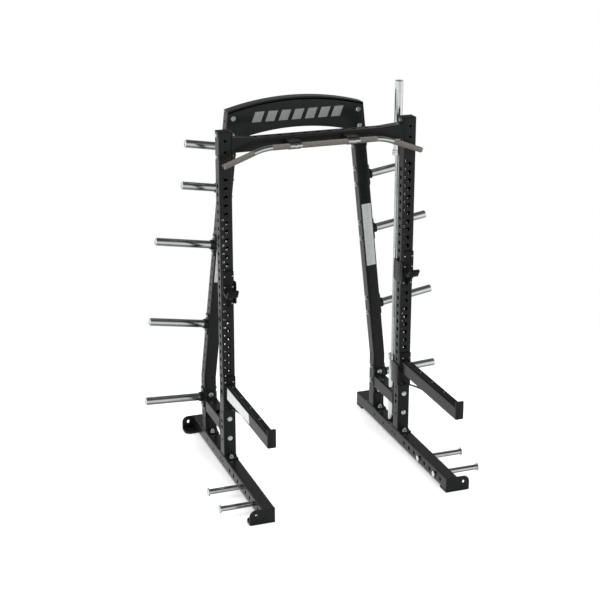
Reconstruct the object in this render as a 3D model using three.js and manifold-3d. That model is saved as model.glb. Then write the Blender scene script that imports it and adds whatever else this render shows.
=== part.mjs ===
import * as THREE from "three";
import { mergeVertices } from "three/addons/utils/BufferGeometryUtils.js";
import Module from "manifold-3d";

const wasm = await Module();
wasm.setup();

// Half rack with plate and barbell storage, in millimetres.
// X runs to the right, Y to the back and Z up. Y is zero at the front faces of the front uprights.

// Clearances
const SEAT = 0.3;
const WELD = 1;
const OVERRUN = 20;

// Square tube and plate stock
const TUBE = 76.2;
const TUBE_WALL = 4.8;
const TUBE_CORNER = 6;
const PLATE = 8;
const FLANGE_PLATE = 6;

// Fasteners
const BOLT = 14;
const BOLT_HEAD = 27;
const BOLT_HEAD_HEIGHT = 9;
const BOLT_HOLE = 16;
const BOLT_END = 12;

// Frame layout
const RACK_WIDTH = 1219.3;
const RAIL_LIFT = 15.3;
const RAIL_TOP = RAIL_LIFT + TUBE;
const OUTER_X = RACK_WIDTH / 2;
const INNER_X = OUTER_X - TUBE;
const CENTRE_X = OUTER_X - TUBE / 2;
const FRONT_REACH = 721.6;
const REAR_REACH = 682.3;
const REAR_Y = 400;
const REAR_CENTRE_Y = REAR_Y + TUBE / 2;
const FLANGE_REACH = 46;
const FLANGE_BOLT_OUT = 25;
const FLANGE_BOLT_DROP = 30;

// Foot plates
const FOOT_EAR = 75;
const FOOT_EAR_CORNER = 38;
const FOOT_FLANGE = 76;
const FOOT_FLANGE_CORNER = 38;
const FOOT_SLOT = 16;
const FOOT_SLOT_HEIGHT = 24;
const FOOT_HOLE_OUT = 36.5;
const FOOT_HOLE_Z = 55;

// Hole patterns of the base rails
const RAIL_HOLE = 25.4;
const RAIL_HOLE_PITCH = 76.2;
const RAIL_HOLE_END = 83.6;
const RAIL_HOLE_COUNT = 8;
const RAIL_REAR_HOLES = [40, 83, 227, 371];
const BAND_PEG_ROWS = [4, 1];

// Band pegs
const BAND_PEG = 32;
const BAND_SHANK = 24;
const BAND_PEG_OUT = 205;
const BAND_DISC = 52;
const BAND_DISC_THICK = 6;
const BAND_NUT = 36;
const BAND_NUT_THICK = 12;

// Front uprights
const UPRIGHT_TOP = 2105;
const CAP_THICK = 4;
const CAP_PLUG = 10;
const PIN_HOLE = 25.4;
const PIN = 24;
const HOLE_PITCH = 50.8;
const FRONT_HOLE_TOP = 1824;
const FRONT_HOLE_COUNT = 28;
const SIDE_HOLE_TOP = 1786;
const SIDE_HOLE_FLOOR = 500;
const SIDE_LOW_HOLES = [282, 322];
const SIDE_LOW_BOLT_HOLES = [198, 379];
const TOP_HOLE_DROPS = [53, 117];

// Side ties
const TIE_Z = 280;
const TIE_BOLT_SPREAD = 127;
const TIE_PLATE_HEIGHT = 170;
const HOLDER_HOLE = 66;

// Rear uprights
const BEND_Z = 455;
const REAR_LEAN = THREE.MathUtils.degToRad(6.1);
const REAR_UPPER = 1674;
const REAR_HOLE_DROP = 54;
const REAR_HOLE_LOW = 40;
const REAR_HOLE_FLOOR = 150;

// Weight pegs
const PEG = 48;
const PEG_LONG = 370;
const PEG_SHORT = 235;
const PEG_CHAMFER = 3;
const PEG_TILT = THREE.MathUtils.degToRad(3);
const PEG_COLLAR = 60;
const PEG_COLLAR_LENGTH = 20;
const PEG_PLATE_MARGIN = 14.2;
const PEG_LOW_Z = 322;
const PEG_UPPER_ROWS = [3, 8, 15, 25];

// Top crossmember
const CROSS_DROP = 87;
const CROSS_Z = UPRIGHT_TOP - CROSS_DROP;
const CROSS_FLARE = 12;
const CROSS_FLARE_LENGTH = 130;
const CROSS_PLATE_HEIGHT = 170;
const CROSS_BOLT_SPREAD = 126;
const CROSS_HOLE = 25.4;
const CROSS_HOLE_PITCH = 76.2;
const CROSS_HOLE_STEPS = 5;
const CROSS_BOLT_RISE = 2;

// Arched panel
const PANEL_THICK = 6;
const PANEL_LIP = 10.5;
const PANEL_SIDE = 170;
const PANEL_RISE = 60;
const PANEL_CORNER_Z = BEND_Z + REAR_UPPER * Math.cos(REAR_LEAN) + PANEL_LIP;
const PANEL_APEX = PANEL_CORNER_Z + PANEL_RISE;
const PANEL_FLOOR = PANEL_CORNER_Z - PANEL_SIDE;
const ARCH_RISE = 50;
const ARCH_APEX = PANEL_FLOOR + ARCH_RISE;
const ARCH_FOOT = 79;
const PANEL_BOLT_DROPS = [130.2, 28.6];

// Chin-up bar
const CHIN_BAR = 33;
const CHIN_WALL = 3.5;
const CHIN_FORWARD = 82;
const CHIN_DROP = 4;
const CHIN_Z = CROSS_Z - CHIN_DROP;
const CHIN_BEND_X = 364.5;
const CHIN_END_X = 609;
const CHIN_END_DROP = 90;
const CHIN_END_Z = CHIN_Z - CHIN_END_DROP;
const CHIN_BEND_REACH = 60;
const BRACKET_X = 178;
const BRACKET_WIDTH = 73;
const BRACKET_ARM = 48;
const BRACKET_FOOT = 66;
const BRACKET_BLEND = 10;
const BRACKET_HEEL = 17;
const CHIN_BOLT = 20;
const CHIN_BOLT_OUT = 8;

// Barbell, stood in the right holder
const BAR_Y = 180;
const BAR_LENGTH = 2200;
const BAR_SHAFT = 28;
const BAR_SLEEVE = 50;
const BAR_SLEEVE_LENGTH = 455;
const BAR_COLLAR = 62;
const BAR_COLLAR_LENGTH = 33;
const BAR_BORE_PLAY = 1.2;
const BAR_END_WALL = 12;
const BAR_EDGE = 3;

// Bar cups
const CUP_ROW = 12;
const CUP_WIDTH = 66;
const CUP_PLATE_RISE = 71.6;
const CUP_PLATE_DROP = 164.4;
const CUP_PLATE_CORNER = 10;
const CUP_LINER_THICK = 12;
const CUP_LINER_RISE = 69.6;
const CUP_PAD_THICK = 9;
const CUP_STEEL = 6;
const CUP_SADDLE_DROP = 58;
const CUP_KNEE_OUT = 88;
const CUP_KNEE_DROP = 66;
const CUP_TIP_OUT = 113;
const CUP_TIP_DROP = 26;
const CUP_RIB = 12;
const CUP_RIB_FOOT_DROP = 152;
const CUP_SIDE_FRONT = 28;
const CUP_SIDE_BACK = 96;
const CUP_SIDE_RISE = 3;
const CUP_SIDE_DROP = 134;
const CUP_SIDE_CORNER = 18;
const CUP_PIN_LENGTH = 52;

// Spotter arms
const ARM_ROW = 25;
const ARM_WIDTH = 50.8;
const ARM_HEIGHT = 76.2;
const ARM_CENTRE_DROP = 22;
const ARM_REACH = 785;
const ARM_STOP_HEIGHT = 112;
const ARM_STOP_CORNER = 10;
const ARM_LINER_WIDTH = 32;
const ARM_LINER_THICK = 12;
const ARM_LINER_START = 34;
const ARM_PLATE_RISE = 68;
const ARM_PLATE_DROP = 154;
const ARM_PAD_WIDTH = 62;
const ARM_PAD_THICK = 10;
const ARM_PAD_HEIGHT = 50;
const ARM_GUSSET = 10;
const ARM_GUSSET_REACH = 400;
const ARM_GUSSET_SAG = 24;
const ARM_GUSSET_DEPTH = 8;
const ARM_SIDE_FRONT = 10;
const ARM_SIDE_BACK = 99;
const ARM_SIDE_DROP = 152;
const ARM_SIDE_RISE_DROP = 14;
const ARM_VENT = 12;
const ARM_VENT_DROP = 42;

// Counts of sides and steps
const PIN_HOLE_SIDES = 6;
const BOLT_SIDES = 6;
const PEG_SIDES = 8;
const CHIN_SIDES = 8;
const CHIN_STEPS = 16;
const BAR_SIDES = 10;
const ARC_STEPS = 12;
const CORNER_STEPS = 1;

// Finishes
const BLACK_STEEL = { color: 0x2a2c2c, roughness: 0.48, metalness: 0.25 };
const CHROME = { color: 0xc9cbcc, roughness: 0.16, metalness: 1 };
const ZINC = { color: 0xb9bbba, roughness: 0.3, metalness: 0.9 };
const BLACK_PLASTIC = { color: 0x1b1b1b, roughness: 0.6, metalness: 0 };
const GRIP_STEEL = { color: 0x96918b, roughness: 0.75, metalness: 0.3 };

// Axes
const X_AXIS = new THREE.Vector3(1, 0, 0);
const Y_AXIS = new THREE.Vector3(0, 1, 0);
const Z_AXIS = new THREE.Vector3(0, 0, 1);

const rack = new THREE.Group();

// Signed volume of a triangle mesh, which tells which way its faces point
function signedVolume(geometry) {
  const at = geometry.attributes.position;
  const index = geometry.index.array;
  const a = new THREE.Vector3();
  const b = new THREE.Vector3();
  const c = new THREE.Vector3();
  let sum = 0;
  for (let i = 0; i < index.length; i += 3) {
    a.fromBufferAttribute(at, index[i]);
    b.fromBufferAttribute(at, index[i + 1]);
    c.fromBufferAttribute(at, index[i + 2]);
    sum += a.dot(b.cross(c));
  }
  return sum;
}

// A geometry with shared vertices merged and every face pointing out
function closed(geometry) {
  const bare = geometry.clone();
  bare.deleteAttribute("normal");
  bare.deleteAttribute("uv");
  const merged = mergeVertices(bare);
  if (signedVolume(merged) < 0) {
    const index = merged.index.array;
    for (let i = 0; i < index.length; i += 3) {
      const swap = index[i + 1];
      index[i + 1] = index[i + 2];
      index[i + 2] = swap;
    }
  }
  return merged;
}

function solid(geometry) {
  const merged = closed(geometry);
  return new wasm.Manifold(new wasm.Mesh({
    numProp: 3,
    vertProperties: Float32Array.from(merged.attributes.position.array),
    triVerts: Uint32Array.from(merged.index.array),
  }));
}

function join(...geometries) {
  let body = solid(geometries[0]);
  for (const geometry of geometries.slice(1)) {
    body = body.add(solid(geometry));
  }
  return body;
}

function cut(body, tools) {
  let rest = body;
  for (const tool of tools) {
    rest = rest.subtract(solid(tool));
  }
  return rest;
}

function geometryOf(body) {
  const mesh = body.getMesh();
  const geometry = new THREE.BufferGeometry();
  const places = [];
  for (let i = 0; i < mesh.numVert; i += 1) {
    const first = i * mesh.numProp;
    places.push(mesh.vertProperties[first], mesh.vertProperties[first + 1], mesh.vertProperties[first + 2]);
  }
  geometry.setAttribute("position", new THREE.Float32BufferAttribute(places, 3));
  geometry.setIndex(Array.from(mesh.triVerts));
  return geometry;
}

function mirrored(geometry) {
  const twin = geometry.clone();
  twin.scale(-1, 1, 1);
  return closed(twin);
}

function add(name, geometry, finish) {
  const material = new THREE.MeshStandardMaterial({ ...finish, flatShading: true });
  const mesh = new THREE.Mesh(geometry, material);
  mesh.name = name;
  rack.add(mesh);
  return mesh;
}

function addPair(name, geometry, finish) {
  add(`right_${name}`, geometry, finish);
  add(`left_${name}`, mirrored(geometry), finish);
}

// Plain boxes and rods between two stated places
function box(x0, x1, y0, y1, z0, z1) {
  const geometry = new THREE.BoxGeometry(x1 - x0, y1 - y0, z1 - z0);
  geometry.translate((x0 + x1) / 2, (y0 + y1) / 2, (z0 + z1) / 2);
  return geometry;
}

function rodX(radius, x0, x1, y, z, sides) {
  const geometry = new THREE.CylinderGeometry(radius, radius, x1 - x0, sides);
  geometry.rotateZ(-Math.PI / 2);
  geometry.translate((x0 + x1) / 2, y, z);
  return geometry;
}

function rodY(radius, y0, y1, x, z, sides) {
  const geometry = new THREE.CylinderGeometry(radius, radius, y1 - y0, sides);
  geometry.translate(x, (y0 + y1) / 2, z);
  return geometry;
}

function rodZ(radius, z0, z1, x, y, sides) {
  const geometry = new THREE.CylinderGeometry(radius, radius, z1 - z0, sides);
  geometry.rotateX(Math.PI / 2);
  geometry.translate(x, y, (z0 + z1) / 2);
  return geometry;
}

// A profile of radius and height pairs revolved about the X, Y or Z axis
function revolve(profile, sides) {
  const points = profile.map(([radius, height]) => new THREE.Vector2(radius, height));
  return new THREE.LatheGeometry(points, sides);
}

function revolveX(profile, sides) {
  const geometry = revolve(profile, sides);
  geometry.rotateZ(-Math.PI / 2);
  return geometry;
}

function revolveZ(profile, sides) {
  const geometry = revolve(profile, sides);
  geometry.rotateX(Math.PI / 2);
  return geometry;
}

// An outline extruded along X, Y or Z, with its points given in the other two axes
function shapeOf(points, hole) {
  const shape = new THREE.Shape(points.map(([u, v]) => new THREE.Vector2(u, v)));
  if (hole) {
    shape.holes.push(new THREE.Path(hole.map(([u, v]) => new THREE.Vector2(u, v))));
  }
  return shape;
}

function extruded(points, depth, hole) {
  return new THREE.ExtrudeGeometry(shapeOf(points, hole), { depth, bevelEnabled: false });
}

function prismX(points, x0, x1, hole) {
  const geometry = extruded(points, x1 - x0, hole);
  geometry.applyMatrix4(new THREE.Matrix4().makeBasis(Y_AXIS, Z_AXIS, X_AXIS));
  geometry.translate(x0, 0, 0);
  return geometry;
}

function prismY(points, y0, y1, hole) {
  const geometry = extruded(points, y1 - y0, hole);
  geometry.applyMatrix4(new THREE.Matrix4().makeBasis(X_AXIS, Z_AXIS, Y_AXIS.clone().negate()));
  geometry.translate(0, y1, 0);
  return geometry;
}

function prismZ(points, z0, z1, hole) {
  const geometry = extruded(points, z1 - z0, hole);
  geometry.translate(0, 0, z0);
  return geometry;
}

// An XZ outline extruded along Y with its long edges rounded, as a bent square tube has them
function tubeProfileY(points, y0, y1) {
  const geometry = new THREE.ExtrudeGeometry(shapeOf(points), {
    depth: y1 - y0 - 2 * TUBE_CORNER,
    bevelEnabled: true,
    bevelThickness: TUBE_CORNER,
    bevelSize: TUBE_CORNER,
    bevelOffset: -TUBE_CORNER,
    bevelSegments: 1,
  });
  geometry.applyMatrix4(new THREE.Matrix4().makeBasis(X_AXIS, Z_AXIS, Y_AXIS.clone().negate()));
  geometry.translate(0, y1 - TUBE_CORNER, 0);
  return geometry;
}

function arc(u, v, radius, from, to, steps) {
  const points = [];
  for (let i = 0; i <= steps; i += 1) {
    const angle = from + (to - from) * (i / steps);
    points.push([u + radius * Math.cos(angle), v + radius * Math.sin(angle)]);
  }
  return points;
}

// A rectangle with rounded corners, centred on u and v
function roundedRect(u, v, width, height, radius, steps) {
  const du = width / 2 - radius;
  const dv = height / 2 - radius;
  return [
    ...arc(u + du, v + dv, radius, 0, Math.PI / 2, steps),
    ...arc(u - du, v + dv, radius, Math.PI / 2, Math.PI, steps),
    ...arc(u - du, v - dv, radius, Math.PI, Math.PI * 1.5, steps),
    ...arc(u + du, v - dv, radius, Math.PI * 1.5, Math.PI * 2, steps),
  ];
}

function tubeSection(u, v, wall) {
  const outer = roundedRect(u, v, TUBE, TUBE, TUBE_CORNER, CORNER_STEPS);
  const side = TUBE - 2 * wall;
  const inner = roundedRect(u, v, side, side, TUBE_CORNER - wall / 2, 1);
  return [outer, inner];
}

// A bow through two corners of one height and an apex over the middle, from right to left
function bow(halfWidth, cornerZ, apexZ, steps) {
  const rise = apexZ - cornerZ;
  const radius = (halfWidth * halfWidth + rise * rise) / (2 * rise);
  const sweep = Math.asin(halfWidth / radius);
  return arc(0, apexZ - radius, radius, Math.PI / 2 - sweep, Math.PI / 2 + sweep, steps);
}

// A bolt along X with its head's seat at the first place and its nut's seat at the second
function boltX(headSeat, nutSeat) {
  const head = BOLT_HEAD / 2;
  const shank = BOLT / 2;
  return revolveX([
    [0, nutSeat - BOLT_HEAD_HEIGHT],
    [head, nutSeat - BOLT_HEAD_HEIGHT],
    [head, nutSeat],
    [shank, nutSeat],
    [shank, headSeat],
    [head, headSeat],
    [head, headSeat + BOLT_HEAD_HEIGHT],
    [0, headSeat + BOLT_HEAD_HEIGHT],
  ], BOLT_SIDES);
}

// A bolt along X with its head's seat and its plain end
function studX(headSeat, end) {
  return revolveX([
    [0, end],
    [BOLT / 2, end],
    [BOLT / 2, headSeat],
    [BOLT_HEAD / 2, headSeat],
    [BOLT_HEAD / 2, headSeat + BOLT_HEAD_HEIGHT],
    [0, headSeat + BOLT_HEAD_HEIGHT],
  ], BOLT_SIDES);
}

// The same bolt along Y, head at the front
function boltY(headSeat, nutSeat) {
  const geometry = boltX(-headSeat, -nutSeat);
  geometry.rotateZ(-Math.PI / 2);
  return geometry;
}

// Heights of a hole pattern that runs down from its first hole
function rowsDown(first, floor, pitch) {
  const rows = [];
  for (let z = first; z >= floor; z -= pitch) {
    rows.push(z);
  }
  return rows;
}

const railHoleY = (row) => RAIL_HOLE_END - FRONT_REACH + row * RAIL_HOLE_PITCH;
const frontHoleZ = (row) => FRONT_HOLE_TOP - row * HOLE_PITCH;
const rearHoleS = (row) => REAR_UPPER - REAR_HOLE_DROP - row * HOLE_PITCH;

// The seat of anything on the outer face of a rear upright: X out of the face, Z up the tube
function lowSeat(z) {
  return new THREE.Matrix4().makeTranslation(OUTER_X, REAR_CENTRE_Y, z);
}

const leanUp = new THREE.Vector3(-Math.sin(REAR_LEAN), 0, Math.cos(REAR_LEAN));
const leanOut = new THREE.Vector3(Math.cos(REAR_LEAN), 0, Math.sin(REAR_LEAN));

function leaningSeat(along) {
  const place = new THREE.Vector3(OUTER_X, REAR_CENTRE_Y, BEND_Z).addScaledVector(leanUp, along);
  return new THREE.Matrix4().makeBasis(leanOut, Y_AXIS, leanUp).setPosition(place);
}

function placed(geometry, seat) {
  const copy = geometry.clone();
  copy.applyMatrix4(seat);
  return copy;
}

// Base rails
function baseRail() {
  const [outer, inner] = tubeSection(CENTRE_X, RAIL_LIFT + TUBE / 2, TUBE_WALL);
  const front = -FRONT_REACH + PLATE + SEAT;
  const back = REAR_REACH - PLATE - SEAT;
  const body = solid(prismY(outer, front, back, inner));
  const middle = RAIL_LIFT + TUBE / 2;
  const left = INNER_X - OVERRUN;
  const right = OUTER_X + OVERRUN;
  const tools = [];
  for (let i = 0; i < RAIL_HOLE_COUNT; i += 1) {
    tools.push(rodX(RAIL_HOLE / 2, left, right, railHoleY(i), middle, PIN_HOLE_SIDES));
  }
  for (const y of RAIL_REAR_HOLES) {
    tools.push(rodX(BOLT_HOLE / 2, left, right, y, middle, BOLT_SIDES));
  }
  for (const y of flangeBoltPlaces(0).concat(flangeBoltPlaces(REAR_Y))) {
    tools.push(rodZ(BOLT_HOLE / 2, middle, RAIL_TOP + OVERRUN, CENTRE_X, y, BOLT_SIDES));
  }
  return geometryOf(cut(body, tools));
}

function flangeBoltPlaces(faceY) {
  return [faceY - FLANGE_BOLT_OUT, faceY + TUBE + FLANGE_BOLT_OUT];
}

// The flange under an upright, with the two bolts that hold it down to the rail
function uprightFlange(faceY) {
  const bottom = RAIL_TOP + SEAT;
  const top = bottom + FLANGE_PLATE;
  const pieces = [box(INNER_X, OUTER_X, faceY - FLANGE_REACH, faceY + TUBE + FLANGE_REACH, bottom, top)];
  for (const y of flangeBoltPlaces(faceY)) {
    const bolt = revolveZ([
      [0, -FLANGE_BOLT_DROP],
      [BOLT / 2, -FLANGE_BOLT_DROP],
      [BOLT / 2, FLANGE_PLATE - WELD],
      [BOLT_HEAD / 2, FLANGE_PLATE - WELD],
      [BOLT_HEAD / 2, FLANGE_PLATE + BOLT_HEAD_HEIGHT],
      [0, FLANGE_PLATE + BOLT_HEAD_HEIGHT],
    ], BOLT_SIDES);
    bolt.translate(CENTRE_X, y, bottom);
    pieces.push(bolt);
  }
  return pieces;
}

// Foot plates: an upright plate with a bolt-down ear, and a flange under the rail
function footPlate(faceY, inward) {
  const earX = OUTER_X + FOOT_EAR;
  const top = RAIL_TOP;
  const outline = [
    [INNER_X, 0],
    [earX, 0],
    ...arc(earX - FOOT_EAR_CORNER, top - FOOT_EAR_CORNER, FOOT_EAR_CORNER, 0, Math.PI / 2, 4),
    [INNER_X, top],
  ];
  const plateBack = faceY + inward * PLATE;
  const flangeBack = faceY + inward * (PLATE + FOOT_FLANGE);
  const wall = prismY(outline, Math.min(faceY, plateBack), Math.max(faceY, plateBack));
  const flangeStart = faceY + inward * (PLATE - WELD);
  const flange = prismZ([
    [INNER_X, flangeStart],
    [earX, flangeStart],
    ...arc(
      earX - FOOT_FLANGE_CORNER, flangeBack - inward * FOOT_FLANGE_CORNER,
      FOOT_FLANGE_CORNER, 0, inward * Math.PI / 2, 4,
    ),
    [INNER_X, flangeBack],
  ], 0, RAIL_LIFT - SEAT);
  const half = FOOT_SLOT / 2;
  const rise = FOOT_SLOT_HEIGHT / 2 - half;
  const holeX = OUTER_X + FOOT_HOLE_OUT;
  const slot = prismY([
    ...arc(holeX, FOOT_HOLE_Z + rise, half, 0, Math.PI, 4),
    ...arc(holeX, FOOT_HOLE_Z - rise, half, Math.PI, Math.PI * 2, 4),
  ], Math.min(faceY, plateBack) - OVERRUN, Math.max(faceY, plateBack) + OVERRUN);
  return geometryOf(cut(join(wall, flange), [slot]));
}

// Band pegs through the rails
function bandPeg(row) {
  const y = railHoleY(row);
  const tip = OUTER_X + BAND_PEG_OUT;
  const seat = OUTER_X + SEAT;
  const back = INNER_X - SEAT;
  const shank = BAND_SHANK / 2;
  const rod = BAND_PEG / 2;
  const geometry = revolveX([
    [0, back - BAND_NUT_THICK],
    [BAND_NUT / 2, back - BAND_NUT_THICK],
    [BAND_NUT / 2, back],
    [shank, back],
    [shank, seat],
    [rod, seat],
    [rod, tip - BAND_DISC_THICK],
    [BAND_DISC / 2, tip - BAND_DISC_THICK],
    [BAND_DISC / 2, tip],
    [0, tip],
  ], PIN_HOLE_SIDES);
  geometry.translate(0, y, RAIL_LIFT + TUBE / 2);
  return closed(geometry);
}

// Front uprights
function crossBoltHeights() {
  const middle = CROSS_Z + CROSS_BOLT_RISE;
  return [middle + CROSS_BOLT_SPREAD / 2, middle - CROSS_BOLT_SPREAD / 2];
}

function tieBoltHeights() {
  return [TIE_Z + TIE_BOLT_SPREAD / 2, TIE_Z - TIE_BOLT_SPREAD / 2];
}

function frontUpright() {
  const [outer, inner] = tubeSection(CENTRE_X, TUBE / 2, TUBE_WALL);
  const bottom = RAIL_TOP + SEAT;
  const top = UPRIGHT_TOP - CAP_THICK - SEAT;
  const body = join(prismZ(outer, bottom, top, inner), ...uprightFlange(0));
  const tools = [];
  for (let row = 0; row < FRONT_HOLE_COUNT; row += 1) {
    tools.push(rodY(PIN_HOLE / 2, -OVERRUN, TUBE + OVERRUN, CENTRE_X, frontHoleZ(row), PIN_HOLE_SIDES));
  }
  for (const z of rowsDown(SIDE_HOLE_TOP, SIDE_HOLE_FLOOR, HOLE_PITCH).concat(SIDE_LOW_HOLES)) {
    tools.push(rodX(PIN_HOLE / 2, INNER_X - OVERRUN, OUTER_X + OVERRUN, TUBE / 2, z, PIN_HOLE_SIDES));
  }
  for (const z of SIDE_LOW_BOLT_HOLES) {
    tools.push(rodX(BOLT_HOLE / 2, INNER_X - OVERRUN, OUTER_X + OVERRUN, TUBE / 2, z, BOLT_SIDES));
  }
  for (const drop of TOP_HOLE_DROPS) {
    tools.push(rodY(BOLT_HOLE / 2, -OVERRUN, TUBE + OVERRUN, CENTRE_X, UPRIGHT_TOP - drop, BOLT_SIDES));
  }
  for (const z of tieBoltHeights()) {
    tools.push(rodY(BOLT_HOLE / 2, -OVERRUN, TUBE + OVERRUN, CENTRE_X, z, BOLT_SIDES));
  }
  for (const z of crossBoltHeights()) {
    tools.push(rodX(BOLT_HOLE / 2, INNER_X - OVERRUN, OUTER_X + OVERRUN, TUBE / 2, z, BOLT_SIDES));
  }
  return geometryOf(cut(body, tools));
}

function uprightCap() {
  const plug = TUBE - 2 * TUBE_WALL - 2 * SEAT;
  const lid = roundedRect(CENTRE_X, TUBE / 2, TUBE, TUBE, TUBE_CORNER, CORNER_STEPS);
  const stem = roundedRect(CENTRE_X, TUBE / 2, plug, plug, TUBE_CORNER, 1);
  return geometryOf(join(
    prismZ(lid, UPRIGHT_TOP - CAP_THICK, UPRIGHT_TOP),
    prismZ(stem, UPRIGHT_TOP - CAP_THICK - CAP_PLUG, UPRIGHT_TOP - WELD),
  ));
}

// Side ties, with the bolts that run through both uprights
function sideTie() {
  const front = TUBE + SEAT;
  const back = REAR_Y - SEAT;
  const [outer, inner] = tubeSection(CENTRE_X, TIE_Z, TUBE_WALL);
  const plateLow = TIE_Z - TIE_PLATE_HEIGHT / 2;
  const plateHigh = TIE_Z + TIE_PLATE_HEIGHT / 2;
  const pieces = [
    prismY(outer, front + PLATE - WELD, back - PLATE + WELD, inner),
    box(INNER_X, OUTER_X, front, front + PLATE, plateLow, plateHigh),
    box(INNER_X, OUTER_X, back - PLATE, back, plateLow, plateHigh),
  ];
  for (const z of tieBoltHeights()) {
    for (const [headSeat, nutSeat] of [
      [-SEAT, front + PLATE - WELD],
      [back - PLATE + WELD, REAR_Y + TUBE + SEAT],
    ]) {
      const bolt = boltY(headSeat, nutSeat);
      bolt.translate(CENTRE_X, 0, z);
      pieces.push(bolt);
    }
  }
  const hole = rodZ(HOLDER_HOLE / 2, TIE_Z - TUBE, TIE_Z + TUBE, CENTRE_X, BAR_Y, BAR_SIDES);
  return geometryOf(cut(join(...pieces), [hole]));
}

// Rear uprights: vertical below the bend, leaning in above it
function rearOutline(inset, bottom, upper) {
  const slope = Math.tan(REAR_LEAN / 2);
  const bend = new THREE.Vector3(OUTER_X, 0, BEND_Z);
  const tip = bend.clone().addScaledVector(leanUp, upper);
  const outerTip = tip.clone().addScaledVector(leanOut, -inset);
  const innerTip = tip.clone().addScaledVector(leanOut, inset - TUBE);
  return [
    [OUTER_X - inset, bottom],
    [OUTER_X - inset, BEND_Z - inset * slope],
    [outerTip.x, outerTip.z],
    [innerTip.x, innerTip.z],
    [INNER_X + inset, BEND_Z - (TUBE - inset) * slope],
    [INNER_X + inset, bottom],
  ];
}

function rearUpright() {
  const bottom = RAIL_TOP + SEAT;
  const slab = tubeProfileY(rearOutline(0, bottom - OVERRUN, REAR_UPPER + OVERRUN), REAR_Y, REAR_Y + TUBE);
  const topCut = placed(box(-TUBE * 2, TUBE, -TUBE, TUBE, 0, TUBE), leaningSeat(REAR_UPPER));
  const lowCut = box(INNER_X - TUBE, OUTER_X + TUBE, REAR_Y - TUBE, REAR_Y + 2 * TUBE, 0, bottom);
  const cavity = prismY(
    rearOutline(TUBE_WALL, bottom + FLANGE_PLATE, REAR_UPPER + OVERRUN),
    REAR_Y + TUBE_WALL, REAR_Y + TUBE - TUBE_WALL,
  );
  let body = cut(solid(slab), [topCut, lowCut]);
  for (const piece of uprightFlange(REAR_Y)) {
    body = body.add(solid(piece));
  }
  const tools = [cavity];
  const across = rodX(BOLT_HOLE / 2, -TUBE / 2, OVERRUN, 0, 0, BOLT_SIDES);
  const inside = rodX(BOLT_HOLE / 2, -TUBE - OVERRUN, -TUBE / 2, 0, 0, BOLT_SIDES);
  const through = rodY(BOLT_HOLE / 2, -TUBE, TUBE, -TUBE / 2, 0, BOLT_SIDES);
  for (const s of rowsDown(rearHoleS(0), REAR_HOLE_LOW, HOLE_PITCH)) {
    tools.push(placed(across, leaningSeat(s)));
  }
  for (const z of rowsDown(PEG_LOW_Z + 2 * HOLE_PITCH, REAR_HOLE_FLOOR, HOLE_PITCH)) {
    tools.push(placed(across, lowSeat(z)));
  }
  for (const row of PEG_UPPER_ROWS) {
    tools.push(placed(inside, leaningSeat(rearHoleS(row - 1))));
    tools.push(placed(inside, leaningSeat(rearHoleS(row + 1))));
  }
  tools.push(placed(inside, lowSeat(PEG_LOW_Z - HOLE_PITCH)));
  tools.push(placed(inside, lowSeat(PEG_LOW_Z + HOLE_PITCH)));
  for (const drop of PANEL_BOLT_DROPS) {
    tools.push(placed(through, leaningSeat(REAR_UPPER - drop)));
  }
  for (const z of tieBoltHeights()) {
    tools.push(placed(through, lowSeat(z)));
  }
  return geometryOf(cut(body, tools));
}

// Weight pegs: a bolted plate, a collar and a chromed horn that tips up a little
function weightPeg(length, seat) {
  const start = SEAT + FLANGE_PLATE / 2;
  const horn = revolveX([
    [0, start],
    [PEG_COLLAR / 2, start],
    [PEG_COLLAR / 2, SEAT + FLANGE_PLATE + PEG_COLLAR_LENGTH],
    [PEG / 2, SEAT + FLANGE_PLATE + PEG_COLLAR_LENGTH],
    [PEG / 2, length - PEG_CHAMFER],
    [PEG / 2 - PEG_CHAMFER, length],
    [0, length],
  ], PEG_SIDES);
  horn.rotateY(-PEG_TILT);
  const wide = PEG_COLLAR / 2;
  const tall = HOLE_PITCH + PEG_PLATE_MARGIN;
  const plate = box(SEAT, SEAT + FLANGE_PLATE, -wide, wide, -tall, tall);
  const pieces = [plate, horn];
  for (const side of [-1, 1]) {
    const bolt = studX(SEAT + FLANGE_PLATE - WELD, -TUBE - BOLT_END);
    bolt.translate(0, 0, side * HOLE_PITCH);
    pieces.push(bolt);
  }
  return geometryOf(join(...pieces.map((piece) => placed(piece, seat))));
}

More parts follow.
